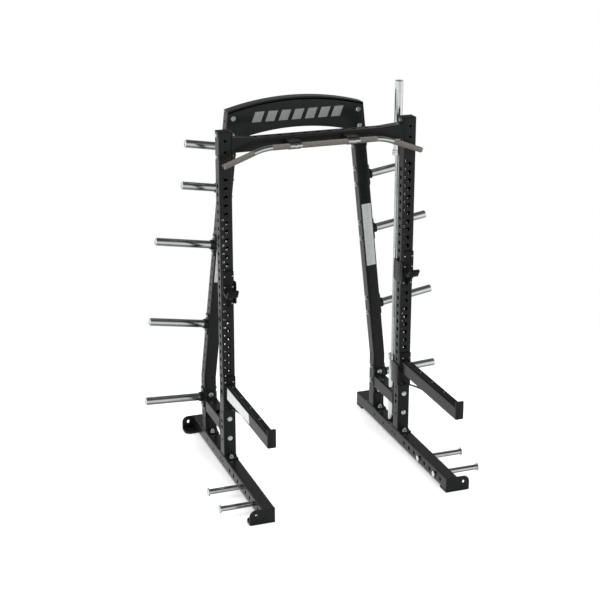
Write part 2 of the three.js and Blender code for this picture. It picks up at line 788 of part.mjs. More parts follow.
// Top crossmember, whose upper face flares up to its end plates
function crossmember() {
  const end = INNER_X - SEAT;
  const tubeEnd = end - PLATE + WELD;
  const low = CROSS_Z - TUBE / 2;
  const high = CROSS_Z + TUBE / 2;
  const profile = (inset, reach) => {
    const flareX = tubeEnd - CROSS_FLARE_LENGTH;
    const right = [
      [reach, low + inset],
      [reach, high - inset + CROSS_FLARE],
      [flareX, high - inset],
    ];
    const left = right.map(([x, z]) => [-x, z]).reverse();
    return [...right, ...left];
  };
  const slab = tubeProfileY(profile(0, end + OVERRUN), 0, TUBE);
  const trims = [
    box(tubeEnd, end + 2 * OVERRUN, -TUBE, 2 * TUBE, low - TUBE, high + TUBE),
    box(-end - 2 * OVERRUN, -tubeEnd, -TUBE, 2 * TUBE, low - TUBE, high + TUBE),
  ];
  const cavity = prismY(profile(TUBE_WALL, tubeEnd - WELD), TUBE_WALL, TUBE - TUBE_WALL);
  let body = cut(solid(slab), trims);
  const middle = CROSS_Z + CROSS_BOLT_RISE - PLATE / 2;
  const plateLow = middle - CROSS_PLATE_HEIGHT / 2;
  const plateHigh = middle + CROSS_PLATE_HEIGHT / 2;
  body = body.add(solid(box(end - PLATE, end, 0, TUBE, plateLow, plateHigh)));
  body = body.add(solid(box(-end, -end + PLATE, 0, TUBE, plateLow, plateHigh)));
  const tools = [cavity];
  for (let i = -CROSS_HOLE_STEPS; i <= CROSS_HOLE_STEPS; i += 1) {
    tools.push(rodZ(CROSS_HOLE / 2, CROSS_Z, high + TUBE, i * CROSS_HOLE_PITCH, TUBE / 2, PIN_HOLE_SIDES));
  }
  for (const z of crossBoltHeights()) {
    tools.push(rodX(BOLT_HOLE / 2, end - PLATE - OVERRUN, end + OVERRUN, TUBE / 2, z, BOLT_SIDES));
    tools.push(rodX(BOLT_HOLE / 2, -end - OVERRUN, -end + PLATE + OVERRUN, TUBE / 2, z, BOLT_SIDES));
  }
  return geometryOf(cut(body, tools));
}

function crossBolt(z) {
  const bolt = boltX(OUTER_X + SEAT, INNER_X - SEAT - PLATE - SEAT);
  bolt.translate(0, TUBE / 2, z);
  return closed(bolt);
}

// Arched panel: a plate in front of the rear uprights with a flange back over the whole arc
function rearOuterX(z) {
  return OUTER_X - (z - BEND_Z) * Math.tan(REAR_LEAN);
}

function archedPanel() {
  const topHalf = rearOuterX(PANEL_CORNER_Z);
  const upper = bow(topHalf, PANEL_CORNER_Z, PANEL_APEX, ARC_STEPS);
  const lower = bow(rearOuterX(PANEL_FLOOR) - ARCH_FOOT, PANEL_FLOOR, ARCH_APEX, ARC_STEPS).reverse();
  const outline = [
    ...lower,
    [rearOuterX(PANEL_FLOOR), PANEL_FLOOR],
    ...upper,
    [-rearOuterX(PANEL_FLOOR), PANEL_FLOOR],
  ];
  const back = REAR_Y - SEAT;
  const under = bow(topHalf, PANEL_CORNER_Z - PANEL_THICK, PANEL_APEX - PANEL_THICK, ARC_STEPS).reverse();
  const plate = prismY(outline, back - PANEL_THICK, back);
  const flange = prismY([...upper, ...under], back - WELD, REAR_Y + TUBE);
  const tools = [];
  for (const drop of PANEL_BOLT_DROPS) {
    const [x, z] = panelBoltPlace(drop);
    for (const side of [-1, 1]) {
      tools.push(rodY(BOLT_HOLE / 2, back - PANEL_THICK - OVERRUN, back + OVERRUN, side * x, z, BOLT_SIDES));
    }
  }
  return geometryOf(cut(join(plate, flange), tools));
}

function panelBoltPlace(drop) {
  const place = new THREE.Vector3(-TUBE / 2, 0, 0).applyMatrix4(leaningSeat(REAR_UPPER - drop));
  return [place.x, place.z];
}

function panelBolt(drop) {
  const [x, z] = panelBoltPlace(drop);
  const bolt = boltY(REAR_Y - SEAT - PANEL_THICK - SEAT, REAR_Y + TUBE + SEAT);
  bolt.translate(x, 0, z);
  return closed(bolt);
}

// Chin-up bar: a straight middle, two bends and two drooping wings, open at both ends
function chinBar() {
  const run = new THREE.Vector3(CHIN_END_X - CHIN_BEND_X, 0, CHIN_END_Z - CHIN_Z).normalize();
  const points = (side) => {
    const bend = new THREE.Vector3(side * CHIN_BEND_X, -CHIN_FORWARD, CHIN_Z);
    const wing = new THREE.Vector3(side * run.x, 0, run.z);
    return {
      end: new THREE.Vector3(side * CHIN_END_X, -CHIN_FORWARD, CHIN_END_Z),
      out: bend.clone().addScaledVector(wing, CHIN_BEND_REACH),
      bend,
      back: bend.clone().addScaledVector(X_AXIS, -side * CHIN_BEND_REACH),
    };
  };
  const left = points(-1);
  const right = points(1);
  const path = new THREE.CurvePath();
  path.add(new THREE.LineCurve3(left.end, left.out));
  path.add(new THREE.QuadraticBezierCurve3(left.out, left.bend, left.back));
  path.add(new THREE.LineCurve3(left.back, right.back));
  path.add(new THREE.QuadraticBezierCurve3(right.back, right.bend, right.out));
  path.add(new THREE.LineCurve3(right.out, right.end));
  const turn = Math.PI * 2;
  const half = Math.PI / CHIN_SIDES;
  const outer = arc(0, 0, CHIN_BAR / 2, half, turn + half, CHIN_SIDES).slice(1);
  const inner = arc(0, 0, CHIN_BAR / 2 - CHIN_WALL, half, turn + half, CHIN_SIDES).slice(1);
  const tube = new THREE.ExtrudeGeometry(shapeOf(outer, inner), {
    steps: CHIN_STEPS,
    extrudePath: path,
    bevelEnabled: false,
  });
  const pieces = [tube];
  const face = -CHIN_FORWARD - CHIN_BAR / 2;
  for (const side of [-1, 1]) {
    pieces.push(rodY(
      CHIN_BOLT / 2, face - CHIN_BOLT_OUT, face + CHIN_WALL, side * BRACKET_X, CHIN_Z, BOLT_SIDES,
    ));
  }
  return geometryOf(join(...pieces));
}

function chinBracket() {
  const arm = BRACKET_ARM / 2;
  const foot = BRACKET_FOOT / 2;
  const profile = [
    [-SEAT, CHIN_Z - foot],
    [-SEAT, CHIN_Z + foot],
    [-PLATE, CHIN_Z + foot],
    [-PLATE - BRACKET_BLEND, CHIN_Z + arm],
    [-CHIN_FORWARD, CHIN_Z + arm],
    [-CHIN_FORWARD, CHIN_Z],
    [-CHIN_FORWARD + BRACKET_HEEL, CHIN_Z - arm],
    [-PLATE - BRACKET_BLEND, CHIN_Z - arm],
    [-PLATE, CHIN_Z - foot],
  ];
  const left = BRACKET_X - BRACKET_WIDTH / 2;
  const right = BRACKET_X + BRACKET_WIDTH / 2;
  const block = prismX(profile, left, right);
  const half = Math.PI / CHIN_SIDES;
  const reach = CHIN_BAR / 2 + SEAT / Math.cos(half);
  const round = arc(-CHIN_FORWARD, CHIN_Z, reach, half, Math.PI * 2 + half, CHIN_SIDES).slice(1);
  const saddle = prismX(round, left - OVERRUN, right + OVERRUN);
  return geometryOf(cut(solid(block), [saddle]));
}

// Barbell: a shaft and two sleeves that turn on it
function barShaft() {
  const low = RAIL_TOP + SEAT + BAR_END_WALL + SEAT;
  const high = RAIL_TOP + SEAT + BAR_LENGTH - BAR_END_WALL - SEAT;
  return closed(rodZ(BAR_SHAFT / 2, low, high, CENTRE_X, BAR_Y, BAR_SIDES));
}

function barSleeve() {
  const bore = BAR_SHAFT / 2 + BAR_BORE_PLAY;
  return revolveZ([
    [0, 0],
    [BAR_SLEEVE / 2 - BAR_EDGE, 0],
    [BAR_SLEEVE / 2, BAR_EDGE],
    [BAR_SLEEVE / 2, BAR_SLEEVE_LENGTH - BAR_COLLAR_LENGTH],
    [BAR_COLLAR / 2, BAR_SLEEVE_LENGTH - BAR_COLLAR_LENGTH],
    [BAR_COLLAR / 2, BAR_SLEEVE_LENGTH],
    [bore, BAR_SLEEVE_LENGTH],
    [bore, BAR_END_WALL],
    [0, BAR_END_WALL],
  ], BAR_SIDES);
}

function lowerSleeve() {
  const geometry = barSleeve();
  geometry.translate(CENTRE_X, BAR_Y, RAIL_TOP + SEAT);
  return closed(geometry);
}

function upperSleeve() {
  const geometry = barSleeve();
  geometry.rotateX(Math.PI);
  geometry.translate(CENTRE_X, BAR_Y, RAIL_TOP + SEAT + BAR_LENGTH);
  return closed(geometry);
}

// A plate profile of even thickness under a line of points, given in Y and Z
function underLine(points, thick) {
  const lower = points.map(([y, z], i) => {
    const before = points[Math.max(i - 1, 0)];
    const after = points[Math.min(i + 1, points.length - 1)];
    const a = new THREE.Vector2(y - before[0], z - before[1]).normalize();
    const b = new THREE.Vector2(after[0] - y, after[1] - z).normalize();
    const along = a.clone().add(b).normalize();
    const normal = new THREE.Vector2(-along.y, along.x);
    const reach = b.lengthSq() > 0 && a.lengthSq() > 0 ? thick / along.dot(b) : thick;
    return [y + normal.x * reach, z + normal.y * reach];
  });
  return lower;
}

// Bar cups
const cupPinZ = frontHoleZ(CUP_ROW);
const cupLine = [
  [-SEAT - PLATE, cupPinZ - CUP_SADDLE_DROP],
  [-CUP_KNEE_OUT, cupPinZ - CUP_KNEE_DROP],
  [-CUP_TIP_OUT, cupPinZ - CUP_TIP_DROP],
];
const cupLeft = CENTRE_X - CUP_WIDTH / 2;
const cupRight = CENTRE_X + CUP_WIDTH / 2;
const cheekInner = INNER_X - SEAT - PLATE;
const cheekOuter = INNER_X - SEAT;

function cupHook() {
  const front = -SEAT - PLATE;
  const topZ = cupPinZ + CUP_PLATE_RISE;
  const lowZ = cupPinZ - CUP_PLATE_DROP;
  const cornerCut = CUP_PLATE_CORNER;
  const cheekHigh = cupPinZ + CUP_SIDE_RISE;
  const cheekLow = cupPinZ - CUP_SIDE_DROP;
  const plate = prismY([
    [cupLeft, lowZ],
    [cupRight - cornerCut, lowZ],
    [cupRight, lowZ + cornerCut],
    [cupRight, topZ - cornerCut],
    [cupRight - cornerCut, topZ],
    [cupLeft, topZ],
    [cupLeft, cheekHigh],
    [cheekInner, cheekHigh - cornerCut],
    [cheekInner, cheekLow + cornerCut],
    [cupLeft, cheekLow],
  ], front, -SEAT);
  const under = underLine(cupLine, CUP_STEEL);
  const cradleProfile = [
    [front + WELD, cupLine[0][1]],
    cupLine[1],
    cupLine[2],
    under[2],
    under[1],
    [front + WELD, under[0][1]],
  ];
  const cradle = prismX(cradleProfile, cupLeft, cupRight);
  const ribFoot = cupPinZ - CUP_RIB_FOOT_DROP;
  const rib = prismX([
    [front + WELD, ribFoot],
    [front + WELD, under[0][1] + WELD],
    [under[1][0], under[1][1] + WELD],
    [(under[1][0] * 2 + front) / 3, (under[1][1] * 2 + ribFoot) / 3 + CUP_STEEL],
    [(under[1][0] + front * 2) / 3, (under[1][1] + ribFoot * 2) / 3 + CUP_STEEL],
  ], CENTRE_X - CUP_RIB / 2, CENTRE_X + CUP_RIB / 2);
  const corner = CUP_SIDE_CORNER;
  const cheek = prismX([
    [-CUP_SIDE_FRONT, cheekLow + corner],
    [-CUP_SIDE_FRONT + corner, cheekLow],
    [CUP_SIDE_BACK - corner, cheekLow],
    [CUP_SIDE_BACK, cheekLow + corner],
    [CUP_SIDE_BACK, cheekHigh - corner],
    [CUP_SIDE_BACK - corner, cheekHigh],
    [TUBE / 2, cheekHigh - corner / 2],
    [0, cheekHigh],
    [-CUP_SIDE_FRONT + corner, cheekHigh],
    [-CUP_SIDE_FRONT, cheekHigh - corner],
  ], cheekInner, cheekOuter);
  const pin = rodY(PIN / 2, -SEAT - WELD, CUP_PIN_LENGTH, CENTRE_X, cupPinZ, PIN_HOLE_SIDES);
  return geometryOf(join(plate, cradle, rib, cheek, pin));
}

function cupLiner() {
  const back = -SEAT - PLATE - SEAT;
  const face = back - CUP_LINER_THICK;
  const top = cupPinZ + CUP_LINER_RISE;
  const seatLine = underLine(cupLine, -SEAT);
  const padLine = underLine(cupLine, -SEAT - CUP_PAD_THICK);
  const tip = seatLine[2];
  const lip = padLine[2];
  const middle = [(tip[0] + lip[0]) / 2, (tip[1] + lip[1]) / 2];
  const away = new THREE.Vector2(cupLine[2][0] - cupLine[1][0], cupLine[2][1] - cupLine[1][1]).normalize();
  const rest = (y) => {
    const share = (y - padLine[1][0]) / (padLine[0][0] - padLine[1][0]);
    return padLine[1][1] + (padLine[0][1] - padLine[1][1]) * share;
  };
  const outline = [
    [back, seatLine[0][1]],
    [back, top],
    [face + CUP_LINER_THICK / 2, top],
    [face, top - CUP_LINER_THICK / 2],
    [face, rest(face) + CUP_PAD_THICK / 2],
    [face - CUP_PAD_THICK / 2, rest(face - CUP_PAD_THICK / 2)],
    [padLine[1][0] + CUP_PAD_THICK / 2, rest(padLine[1][0] + CUP_PAD_THICK / 2)],
    [padLine[1][0] + away.x * CUP_PAD_THICK / 2, padLine[1][1] + away.y * CUP_PAD_THICK / 2],
    lip,
    [middle[0] + away.x * CUP_PAD_THICK / 2, middle[1] + away.y * CUP_PAD_THICK / 2],
    tip,
    seatLine[1],
  ];
  return closed(prismX(outline, cupLeft, cupRight));
}

// Spotter arms
const armPinZ = frontHoleZ(ARM_ROW);
const armZ = armPinZ - ARM_CENTRE_DROP;
const armLow = armZ - ARM_HEIGHT / 2;
const armTop = armZ + ARM_HEIGHT / 2;
const armLeft = CENTRE_X - ARM_WIDTH / 2;
const armRight = CENTRE_X + ARM_WIDTH / 2;

function spotterArm() {
  const front = -SEAT - PLATE;
  const corner = ARM_STOP_CORNER;
  const plateTop = armPinZ + ARM_PLATE_RISE;
  const plateLow = armPinZ - ARM_PLATE_DROP;
  const cheekHigh = armPinZ - ARM_SIDE_RISE_DROP;
  const cheekLow = armPinZ - ARM_SIDE_DROP;
  const right = OUTER_X - SEAT;
  const plate = prismY([
    [INNER_X + corner, plateLow],
    [right - corner, plateLow],
    [right, plateLow + corner],
    [right, plateTop - corner],
    [right - corner, plateTop],
    [INNER_X + corner, plateTop],
    [INNER_X, plateTop - corner],
    [INNER_X, cheekHigh],
    [cheekInner, cheekHigh - corner],
    [cheekInner, cheekLow + corner],
    [INNER_X, cheekLow],
  ], front, -SEAT);
  const tube = box(armLeft, armRight, -ARM_REACH + PLATE - WELD, front + WELD, armLow, armTop);
  const stop = prismY([
    [armLeft, armLow],
    [armRight, armLow],
    [armRight, armLow + ARM_STOP_HEIGHT - corner],
    [armRight - corner, armLow + ARM_STOP_HEIGHT],
    [armLeft + corner, armLow + ARM_STOP_HEIGHT],
    [armLeft, armLow + ARM_STOP_HEIGHT - corner],
  ], -ARM_REACH, -ARM_REACH + PLATE);
  const curve = new THREE.QuadraticBezierCurve(
    new THREE.Vector2(front + WELD, plateLow + corner),
    new THREE.Vector2((front - ARM_GUSSET_REACH + ARM_GUSSET_SAG) / 2, armLow - ARM_GUSSET_SAG),
    new THREE.Vector2(-ARM_GUSSET_REACH, armLow),
  );
  const lower = curve.getPoints(ARC_STEPS / 2).map((point) => [point.x, point.y]);
  const upper = lower.map(([y, z]) => [y, Math.min(z + ARM_GUSSET_DEPTH, armLow + WELD)]);
  const gusset = prismX(
    [...lower, ...upper.reverse()], CENTRE_X - ARM_GUSSET / 2, CENTRE_X + ARM_GUSSET / 2,
  );
  const cheek = prismX([
    [-ARM_SIDE_FRONT, cheekLow + corner],
    [-ARM_SIDE_FRONT + corner, cheekLow],
    [ARM_SIDE_BACK - corner, cheekLow],
    [ARM_SIDE_BACK, cheekLow + corner],
    [ARM_SIDE_BACK, cheekHigh - corner],
    [ARM_SIDE_BACK - corner, cheekHigh],
    [-ARM_SIDE_FRONT, cheekHigh],
  ], cheekInner, cheekOuter);
  const pin = rodY(PIN / 2, -SEAT - WELD, CUP_PIN_LENGTH, CENTRE_X, armPinZ, PIN_HOLE_SIDES);
  const body = join(plate, tube, stop, gusset, cheek, pin);
  const cavity = box(
    armLeft + TUBE_WALL, armRight - TUBE_WALL,
    -ARM_REACH + PLATE, front,
    armLow + TUBE_WALL, armTop - TUBE_WALL,
  );
  const vent = rodY(ARM_VENT / 2, front - OVERRUN, OVERRUN, CENTRE_X, armPinZ - ARM_VENT_DROP, BOLT_SIDES);
  return geometryOf(cut(body, [cavity, vent]));
}

function armLiner() {
  const low = armTop + SEAT;
  const left = CENTRE_X - ARM_LINER_WIDTH / 2;
  const right = CENTRE_X + ARM_LINER_WIDTH / 2;
  return closed(box(
    left, right, -ARM_REACH + PLATE + SEAT, -ARM_LINER_START, low, low + ARM_LINER_THICK,
  ));
}

function armPad() {
  const top = armPinZ + ARM_PLATE_RISE;
  const back = -SEAT - PLATE - SEAT;
  const left = CENTRE_X - ARM_PAD_WIDTH / 2;
  const right = CENTRE_X + ARM_PAD_WIDTH / 2;
  return closed(box(left, right, back - ARM_PAD_THICK, back, top - ARM_PAD_HEIGHT, top));
}

// The rack
addPair("base_rail", baseRail(), BLACK_STEEL);
addPair("front_foot_plate", footPlate(-FRONT_REACH, 1), BLACK_STEEL);
addPair("rear_foot_plate", footPlate(REAR_REACH, -1), BLACK_STEEL);
BAND_PEG_ROWS.forEach((row, i) => addPair(`band_peg_${i + 1}`, bandPeg(row), CHROME));
addPair("front_upright", frontUpright(), BLACK_STEEL);
addPair("upright_cap", uprightCap(), BLACK_PLASTIC);
addPair("side_tie", sideTie(), BLACK_STEEL);
addPair("rear_upright", rearUpright(), BLACK_STEEL);
PEG_UPPER_ROWS.forEach((row, i) => {
  const length = i < 2 ? PEG_SHORT : PEG_LONG;
  addPair(`weight_peg_${i + 1}`, weightPeg(length, leaningSeat(rearHoleS(row))), CHROME);
});
addPair("weight_peg_5", weightPeg(PEG_LONG, lowSeat(PEG_LOW_Z)), CHROME);
add("top_crossmember", crossmember(), BLACK_STEEL);
crossBoltHeights().forEach((z, i) => addPair(`cross_bolt_${i + 1}`, crossBolt(z), ZINC));
add("arched_panel", archedPanel(), BLACK_STEEL);
PANEL_BOLT_DROPS.forEach((drop, i) => addPair(`panel_bolt_${i + 1}`, panelBolt(drop), ZINC));
add("chin_up_bar", chinBar(), GRIP_STEEL);
addPair("chin_bracket", chinBracket(), BLACK_STEEL);
add("barbell_shaft", barShaft(), CHROME);
add("barbell_lower_sleeve", lowerSleeve(), CHROME);
add("barbell_upper_sleeve", upperSleeve(), CHROME);
addPair("bar_cup", cupHook(), BLACK_STEEL);
addPair("bar_cup_liner", cupLiner(), BLACK_PLASTIC);
addPair("spotter_arm", spotterArm(), BLACK_STEEL);
addPair("spotter_liner", armLiner(), BLACK_PLASTIC);
addPair("spotter_pad", armPad(), BLACK_PLASTIC);

// The origin is on the floor, midway between the arm tips and the rear foot plates
rack.position.y = (Math.max(ARM_REACH, FRONT_REACH) - REAR_REACH) / 2;

export default rack;
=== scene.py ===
"""Half rack in a plain studio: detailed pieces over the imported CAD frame, in metres."""

import math  # noqa: E402

import bmesh  # noqa: E402
import bpy  # noqa: E402
import numpy as np  # noqa: E402
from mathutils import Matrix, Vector  # noqa: E402


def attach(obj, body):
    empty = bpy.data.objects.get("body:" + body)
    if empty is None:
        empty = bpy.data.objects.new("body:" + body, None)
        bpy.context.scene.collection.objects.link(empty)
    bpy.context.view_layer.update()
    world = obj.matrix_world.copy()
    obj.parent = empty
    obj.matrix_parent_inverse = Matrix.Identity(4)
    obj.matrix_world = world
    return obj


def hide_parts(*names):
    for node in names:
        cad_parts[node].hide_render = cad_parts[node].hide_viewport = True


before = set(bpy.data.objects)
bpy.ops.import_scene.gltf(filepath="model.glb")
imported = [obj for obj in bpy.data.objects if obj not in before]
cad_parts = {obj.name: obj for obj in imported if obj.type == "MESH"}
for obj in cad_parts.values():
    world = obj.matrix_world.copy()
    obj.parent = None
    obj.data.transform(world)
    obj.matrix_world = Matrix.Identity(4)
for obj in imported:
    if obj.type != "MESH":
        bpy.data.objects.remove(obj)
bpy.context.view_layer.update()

# Sizes in millimetres, in a frame whose Y is zero at the front faces of the front uprights
FRAME_Y = 51.35
# The square tube, and where its outer face, inner face and middle stand on the right
TUBE, WALL, CORNER = 76.2, 4.8, 6.0
HALF = TUBE / 2
OUTER, INNER, CENTRE = 609.65, 533.45, 571.55
# The gap between pieces, a plate, both together, and where a tube ends inside its plate
GAP, THICK, FACE, SUNK = 0.3, 8.0, 8.3, 7.3
# The base rail's top, middle and ends, and the foot of what stands on it
RAIL_TOP, RAIL_MID, FOOT = 91.5, 53.4, 91.8
FRONT_END, REAR_END = -721.6, 682.3
# The rear upright's front face, its middle, and the seat of a nut behind it
REAR_Y, REAR_MID, REAR_FACE = 400.0, 438.1, 476.5
# Holes: their pitch up the uprights and their radii, the wide pitch of rail and crossmember, and the rows
PITCH, PIN_R, BOLT_R = 50.8, 12.7, 8.0
WIDE_PITCH, RAIL_FIRST = 76.2, -638.0
FRONT_ROWS = 1824.0 - PITCH * np.arange(28)
SIDE_ROWS = 1786.0 - PITCH * np.arange(26)
# Heights: the uprights' top, the lowest weight peg, the ties and the crossmember with their bolts
TOP, LOW_PEG = 2105.0, 322.0
TIE_Z, TIE_BOLTS = 280.0, (343.5, 216.5)
CROSS_Z, CROSS_BOLTS = 2018.0, (2083.0, 1957.0)
# The rear upright's lean above its bend, the length up to its top, and the panel's bolts below that top
LEAN, BEND_Z, UPPER, PANEL_DROPS = math.radians(6.1), 455.0, 1674.0, (130.2, 28.6)
# The chin-up bar's middle and radius, and where its wing bends and ends
CHIN_Z, CHIN_Y, CHIN_R, BEND_X, END_X, END_Z = 2014.0, -82.0, 15.9, 364.5, 609.0, 1924.0
# The rows that hold the bar cups and the spotter arms, and the faces of their side plates
CUP_Z, ARM_PIN_Z = FRONT_ROWS[12], FRONT_ROWS[25]
CHEEK_IN, CHEEK_OUT, RIVET_X, PAD_Y = INNER - FACE, INNER - GAP, (546.5, 595), -18.6
# Where the barbell stands, and its length
BAR_Y, BAR_LENGTH = 180.0, 2200.0
# An edge sharper than this is drawn sharp
CREASE = math.radians(32)
X, Y, Z = np.eye(3)
LEAN_UP = np.array([-math.sin(LEAN), 0, math.cos(LEAN)])
LEAN_OUT = np.array([math.cos(LEAN), 0, math.sin(LEAN)])


# Surfaces: each is a pair of points (n, 3) and a list of face arrays
def sheet(points, around=False, along=False):
    """Quads between neighbours of the grid P[i, j].

    around joins the last j to the first, and along the last i to the first.
    """
    n, m = points.shape[:2]
    i = np.arange(n if along else n - 1)[:, None]
    j = np.arange(m if around else m - 1)[None, :]
    a, b = i * m + j, i * m + (j + 1) % m
    c, d = ((i + 1) % n) * m + (j + 1) % m, ((i + 1) % n) * m + j
    return points.reshape(-1, 3), [np.stack(np.broadcast_arrays(a, b, c, d), -1).reshape(-1, 4)]


def capped(rings):
    """A sheet round its rings, closed by the first and the last of them."""
    points, faces = sheet(rings, around=True)
    order = np.arange(rings.shape[1])[None]
    return points, faces + [order[:, ::-1], order + len(points) - order.size]


def arc(a, b, r, start, stop, count):
    """Points at r about (a, b), from one angle to another."""
    t = np.linspace(start, stop, count)
    return np.stack([a + r * np.cos(t), b + r * np.sin(t)], 1)


def curved(a, b, c, count):
    """Points from a to c on the curve that b draws to itself."""
    t = np.linspace(0, 1, count)[:, None]
    return (1 - t) ** 2 * a + 2 * t * (1 - t) * b + t ** 2 * c


def lathe(profile, place, axis, sides=32, turn=0.0):
    """P(h, a) = place + h * axis + r(h) * (cos a * e1 + sin a * e2), for a profile of (r, h)."""
    axis = np.asarray(axis, float)
    helper = Z if abs(axis[2]) < 0.9 else X
    e1 = np.cross(helper, axis)
    e1 /= np.linalg.norm(e1)
    e2 = np.cross(axis, e1)
    r, h = np.asarray(profile, float).T
    a = np.linspace(0, 2 * np.pi, sides, endpoint=False) + turn
    ring = np.cos(a)[:, None] * e1 + np.sin(a)[:, None] * e2
    points = np.asarray(place) + h[:, None, None] * axis + r[:, None, None] * ring
    return sheet(points, around=True)


def inset(loop, reach):
    """A closed outline moved inward by reach along its mitred corner normals, limited at sharp corners."""
    sharpest = 0.35
    before, after = loop - np.roll(loop, 1, 0), np.roll(loop, -1, 0) - loop
    before /= np.linalg.norm(before, axis=1)[:, None]
    after /= np.linalg.norm(after, axis=1)[:, None]
    normal = np.stack([-before[:, 1] - after[:, 1], before[:, 0] + after[:, 0]], 1)
    normal /= np.linalg.norm(normal, axis=1)[:, None]
    square = np.stack([-after[:, 1], after[:, 0]], 1)
    share = np.clip((normal * square).sum(1), sharpest, 1)
    return loop + normal * (reach / share)[:, None]


def twice_area(loop):
    """Twice the area inside a closed outline, above zero where it runs counterclockwise."""
    x, y = loop.T
    return (x * np.roll(y, -1) - y * np.roll(x, -1)).sum()


def slab(outline, thick, place, u, v, out, edge=1.0, hole=None):
    """A plate as loops P = place + a * u + b * v - depth * out, with a quarter round at both faces.

    With a hole (a, b, r, rise) both faces are strips from the outline to a slot: a circle parted by the rise.
    """
    loop = np.asarray(outline, float)
    loop = loop if twice_area(loop) > 0 else loop[::-1]
    turn = np.linspace(0, np.pi / 2, 3)
    ins, deep = edge * (1 - np.sin(turn)), edge * (1 - np.cos(turn))
    rings = []
    for reach, depth in [*zip(ins, deep), *zip(ins[::-1], thick - deep[::-1])]:
        flat = inset(loop, reach) if reach > 1e-9 else loop
        rings.append(place + flat[:, :1] * u + flat[:, 1:] * v - depth * out)
    rings = np.stack(rings)
    if hole is None:
        return capped(rings)
    a, b, r, rise = hole
    angle = np.arctan2(loop[:, 1] - b, loop[:, 0] - a)
    circle = np.stack([a + r * np.cos(angle), b + r * np.sin(angle) + rise * np.sign(np.sin(angle))], 1)
    near = place + circle[:, :1] * u + circle[:, 1:] * v
    strips = np.stack([rings[0], near, near - thick * out, rings[-1]])
    return merged([sheet(rings, around=True), sheet(strips, around=True)])


def facing(side, outline, thick, at, edge=1.0, hole=None):
    """A slab square to the frame, whose outer face looks to a side and stands at this distance along it."""
    u, v, out = {"front": (X, Z, -Y), "rear": (X, Z, Y), "right": (Y, Z, X),
                 "left": (Y, Z, -X), "top": (X, Y, Z)}[side]
    return slab(outline, thick, at * abs(out), u, v, out, edge, hole)


def merged(parts):
    """Several surfaces as one: points stacked and face numbers moved along."""
    points, faces, base = [], [], 0
    for p, f in parts:
        points.append(p)
        faces += [one + base for one in f]
        base += len(p)
    return np.concatenate(points), faces


def moved(part, place, u, w, v):
    """Local points (a, b, c) placed at place + a * u + b * w + c * v."""
    p, f = part
    return np.asarray(place) + p[:, :1] * u + p[:, 1:2] * w + p[:, 2:] * v, f


def round_rect(a, b, width, height, r, steps=4):
    """A rectangle with quarter-round corners about (a, b), counterclockwise."""
    t = np.linspace(0, np.pi / 2, steps)
    du, dv = width / 2 - r, height / 2 - r
    corner = [(du, dv, 0), (-du, dv, 1), (-du, -dv, 2), (du, -dv, 3)]
    return np.concatenate([
        np.stack([a + x + r * np.cos(t + q * np.pi / 2), b + y + r * np.sin(t + q * np.pi / 2)], 1)
        for x, y, q in corner])


def dense(loop, step):
    """The same closed outline with its long edges divided to about one step."""
    out = []
    for p, q in zip(loop, np.roll(loop, -1, 0)):
        n = max(1, int(np.linalg.norm(q - p) // step))
        out.append(p + (q - p) * np.arange(n)[:, None] / n)
    return np.concatenate(out)


def cells(low, high, holes):
    """Each hole (v, r) with the stretch low to high of the wall that its own strip fills."""
    holes = sorted(holes)
    mids = [(p[0] + q[0]) / 2 for p, q in zip(holes, holes[1:])]
    starts, stops = [low] + mids, mids + [high]
    return [(v, r, max(a, v - PITCH / 2), min(b, v + PITCH / 2))
            for (v, r), a, b in zip(holes, starts, stops)]


def square_tube(half_u, half_w, low, high, holes, r=CORNER, wall=WALL, extra=()):
    """A rounded square tube in (u, w, v), closed at its ends by the wall's own edge.

    Sections P(v, k) = L(k) run up outside and down inside, each with four flats and four arcs. Round a hole
    the flat's quads give way to strips, from its stretch's edge to the chamfered circle and through the wall.
    """
    chamfer, on_flat = 0.6, 7
    side_points = on_flat + 4
    cut = [cells(low, high, holes.get(key, [])) for key in ("+u", "+w", "-u", "-w")]
    rows = [np.linspace(a, b, on_flat) for side in cut for *_, a, b in side]
    rows = np.unique(np.round(np.concatenate([[low, high], extra, *rows]), 5))
    bend = np.exp(1j * np.linspace(0, np.pi / 2, 6)[1:-1])
    far, along = [half_u, half_w] * 2, [half_w - r, half_u - r] * 2
    across = np.linspace(-1, 1, on_flat)

    def section(deep):
        return np.concatenate([1j ** q * np.concatenate([
            far[q] - deep + 1j * along[q] * across, far[q] - r + 1j * along[q] + (r - deep) * bend])
            for q in range(4)])

    v = np.concatenate([rows, rows[::-1]])
    flat = np.stack([section(0.0)] * len(rows) + [section(wall)] * len(rows))
    grid = np.stack([flat.real, flat.imag, np.broadcast_to(v[:, None], flat.shape)], -1)
    points, faces = sheet(grid, True, True)
    middle = (v + np.roll(v, -1)) / 2
    keep = np.ones(flat.shape, bool)
    parts = []
    for q, side in enumerate(cut):
        for centre, radius, a, b in side:
            keep[(middle > a) & (middle < b), side_points * q:side_points * q + on_flat - 1] = False
            up = rows[(rows > a - 1e-4) & (rows < b + 1e-4)]
            edge, end = np.ones(len(up) - 1), np.ones(on_flat - 1)
            h = along[q] * np.concatenate([across[:-1], edge, across[:0:-1], -edge])
            w = np.concatenate([up[0] * end, up[:-1], up[-1] * end, up[:0:-1]])
            angle = np.arctan2(w - centre, h)
            rings = []
            for size, deep in ((None, 0.0), (radius + chamfer, 0.0), (radius, chamfer),
                               (radius, wall), (None, wall)):
                x = h if size is None else size * np.cos(angle)
                z = w if size is None else centre + size * np.sin(angle)
                place = 1j ** q * (far[q] - deep + 1j * x)
                rings.append(np.stack([place.real, place.imag, z], 1))
            parts.append(sheet(np.stack(rings), around=True))
    return [(points, [faces[0][keep.ravel()]])] + parts


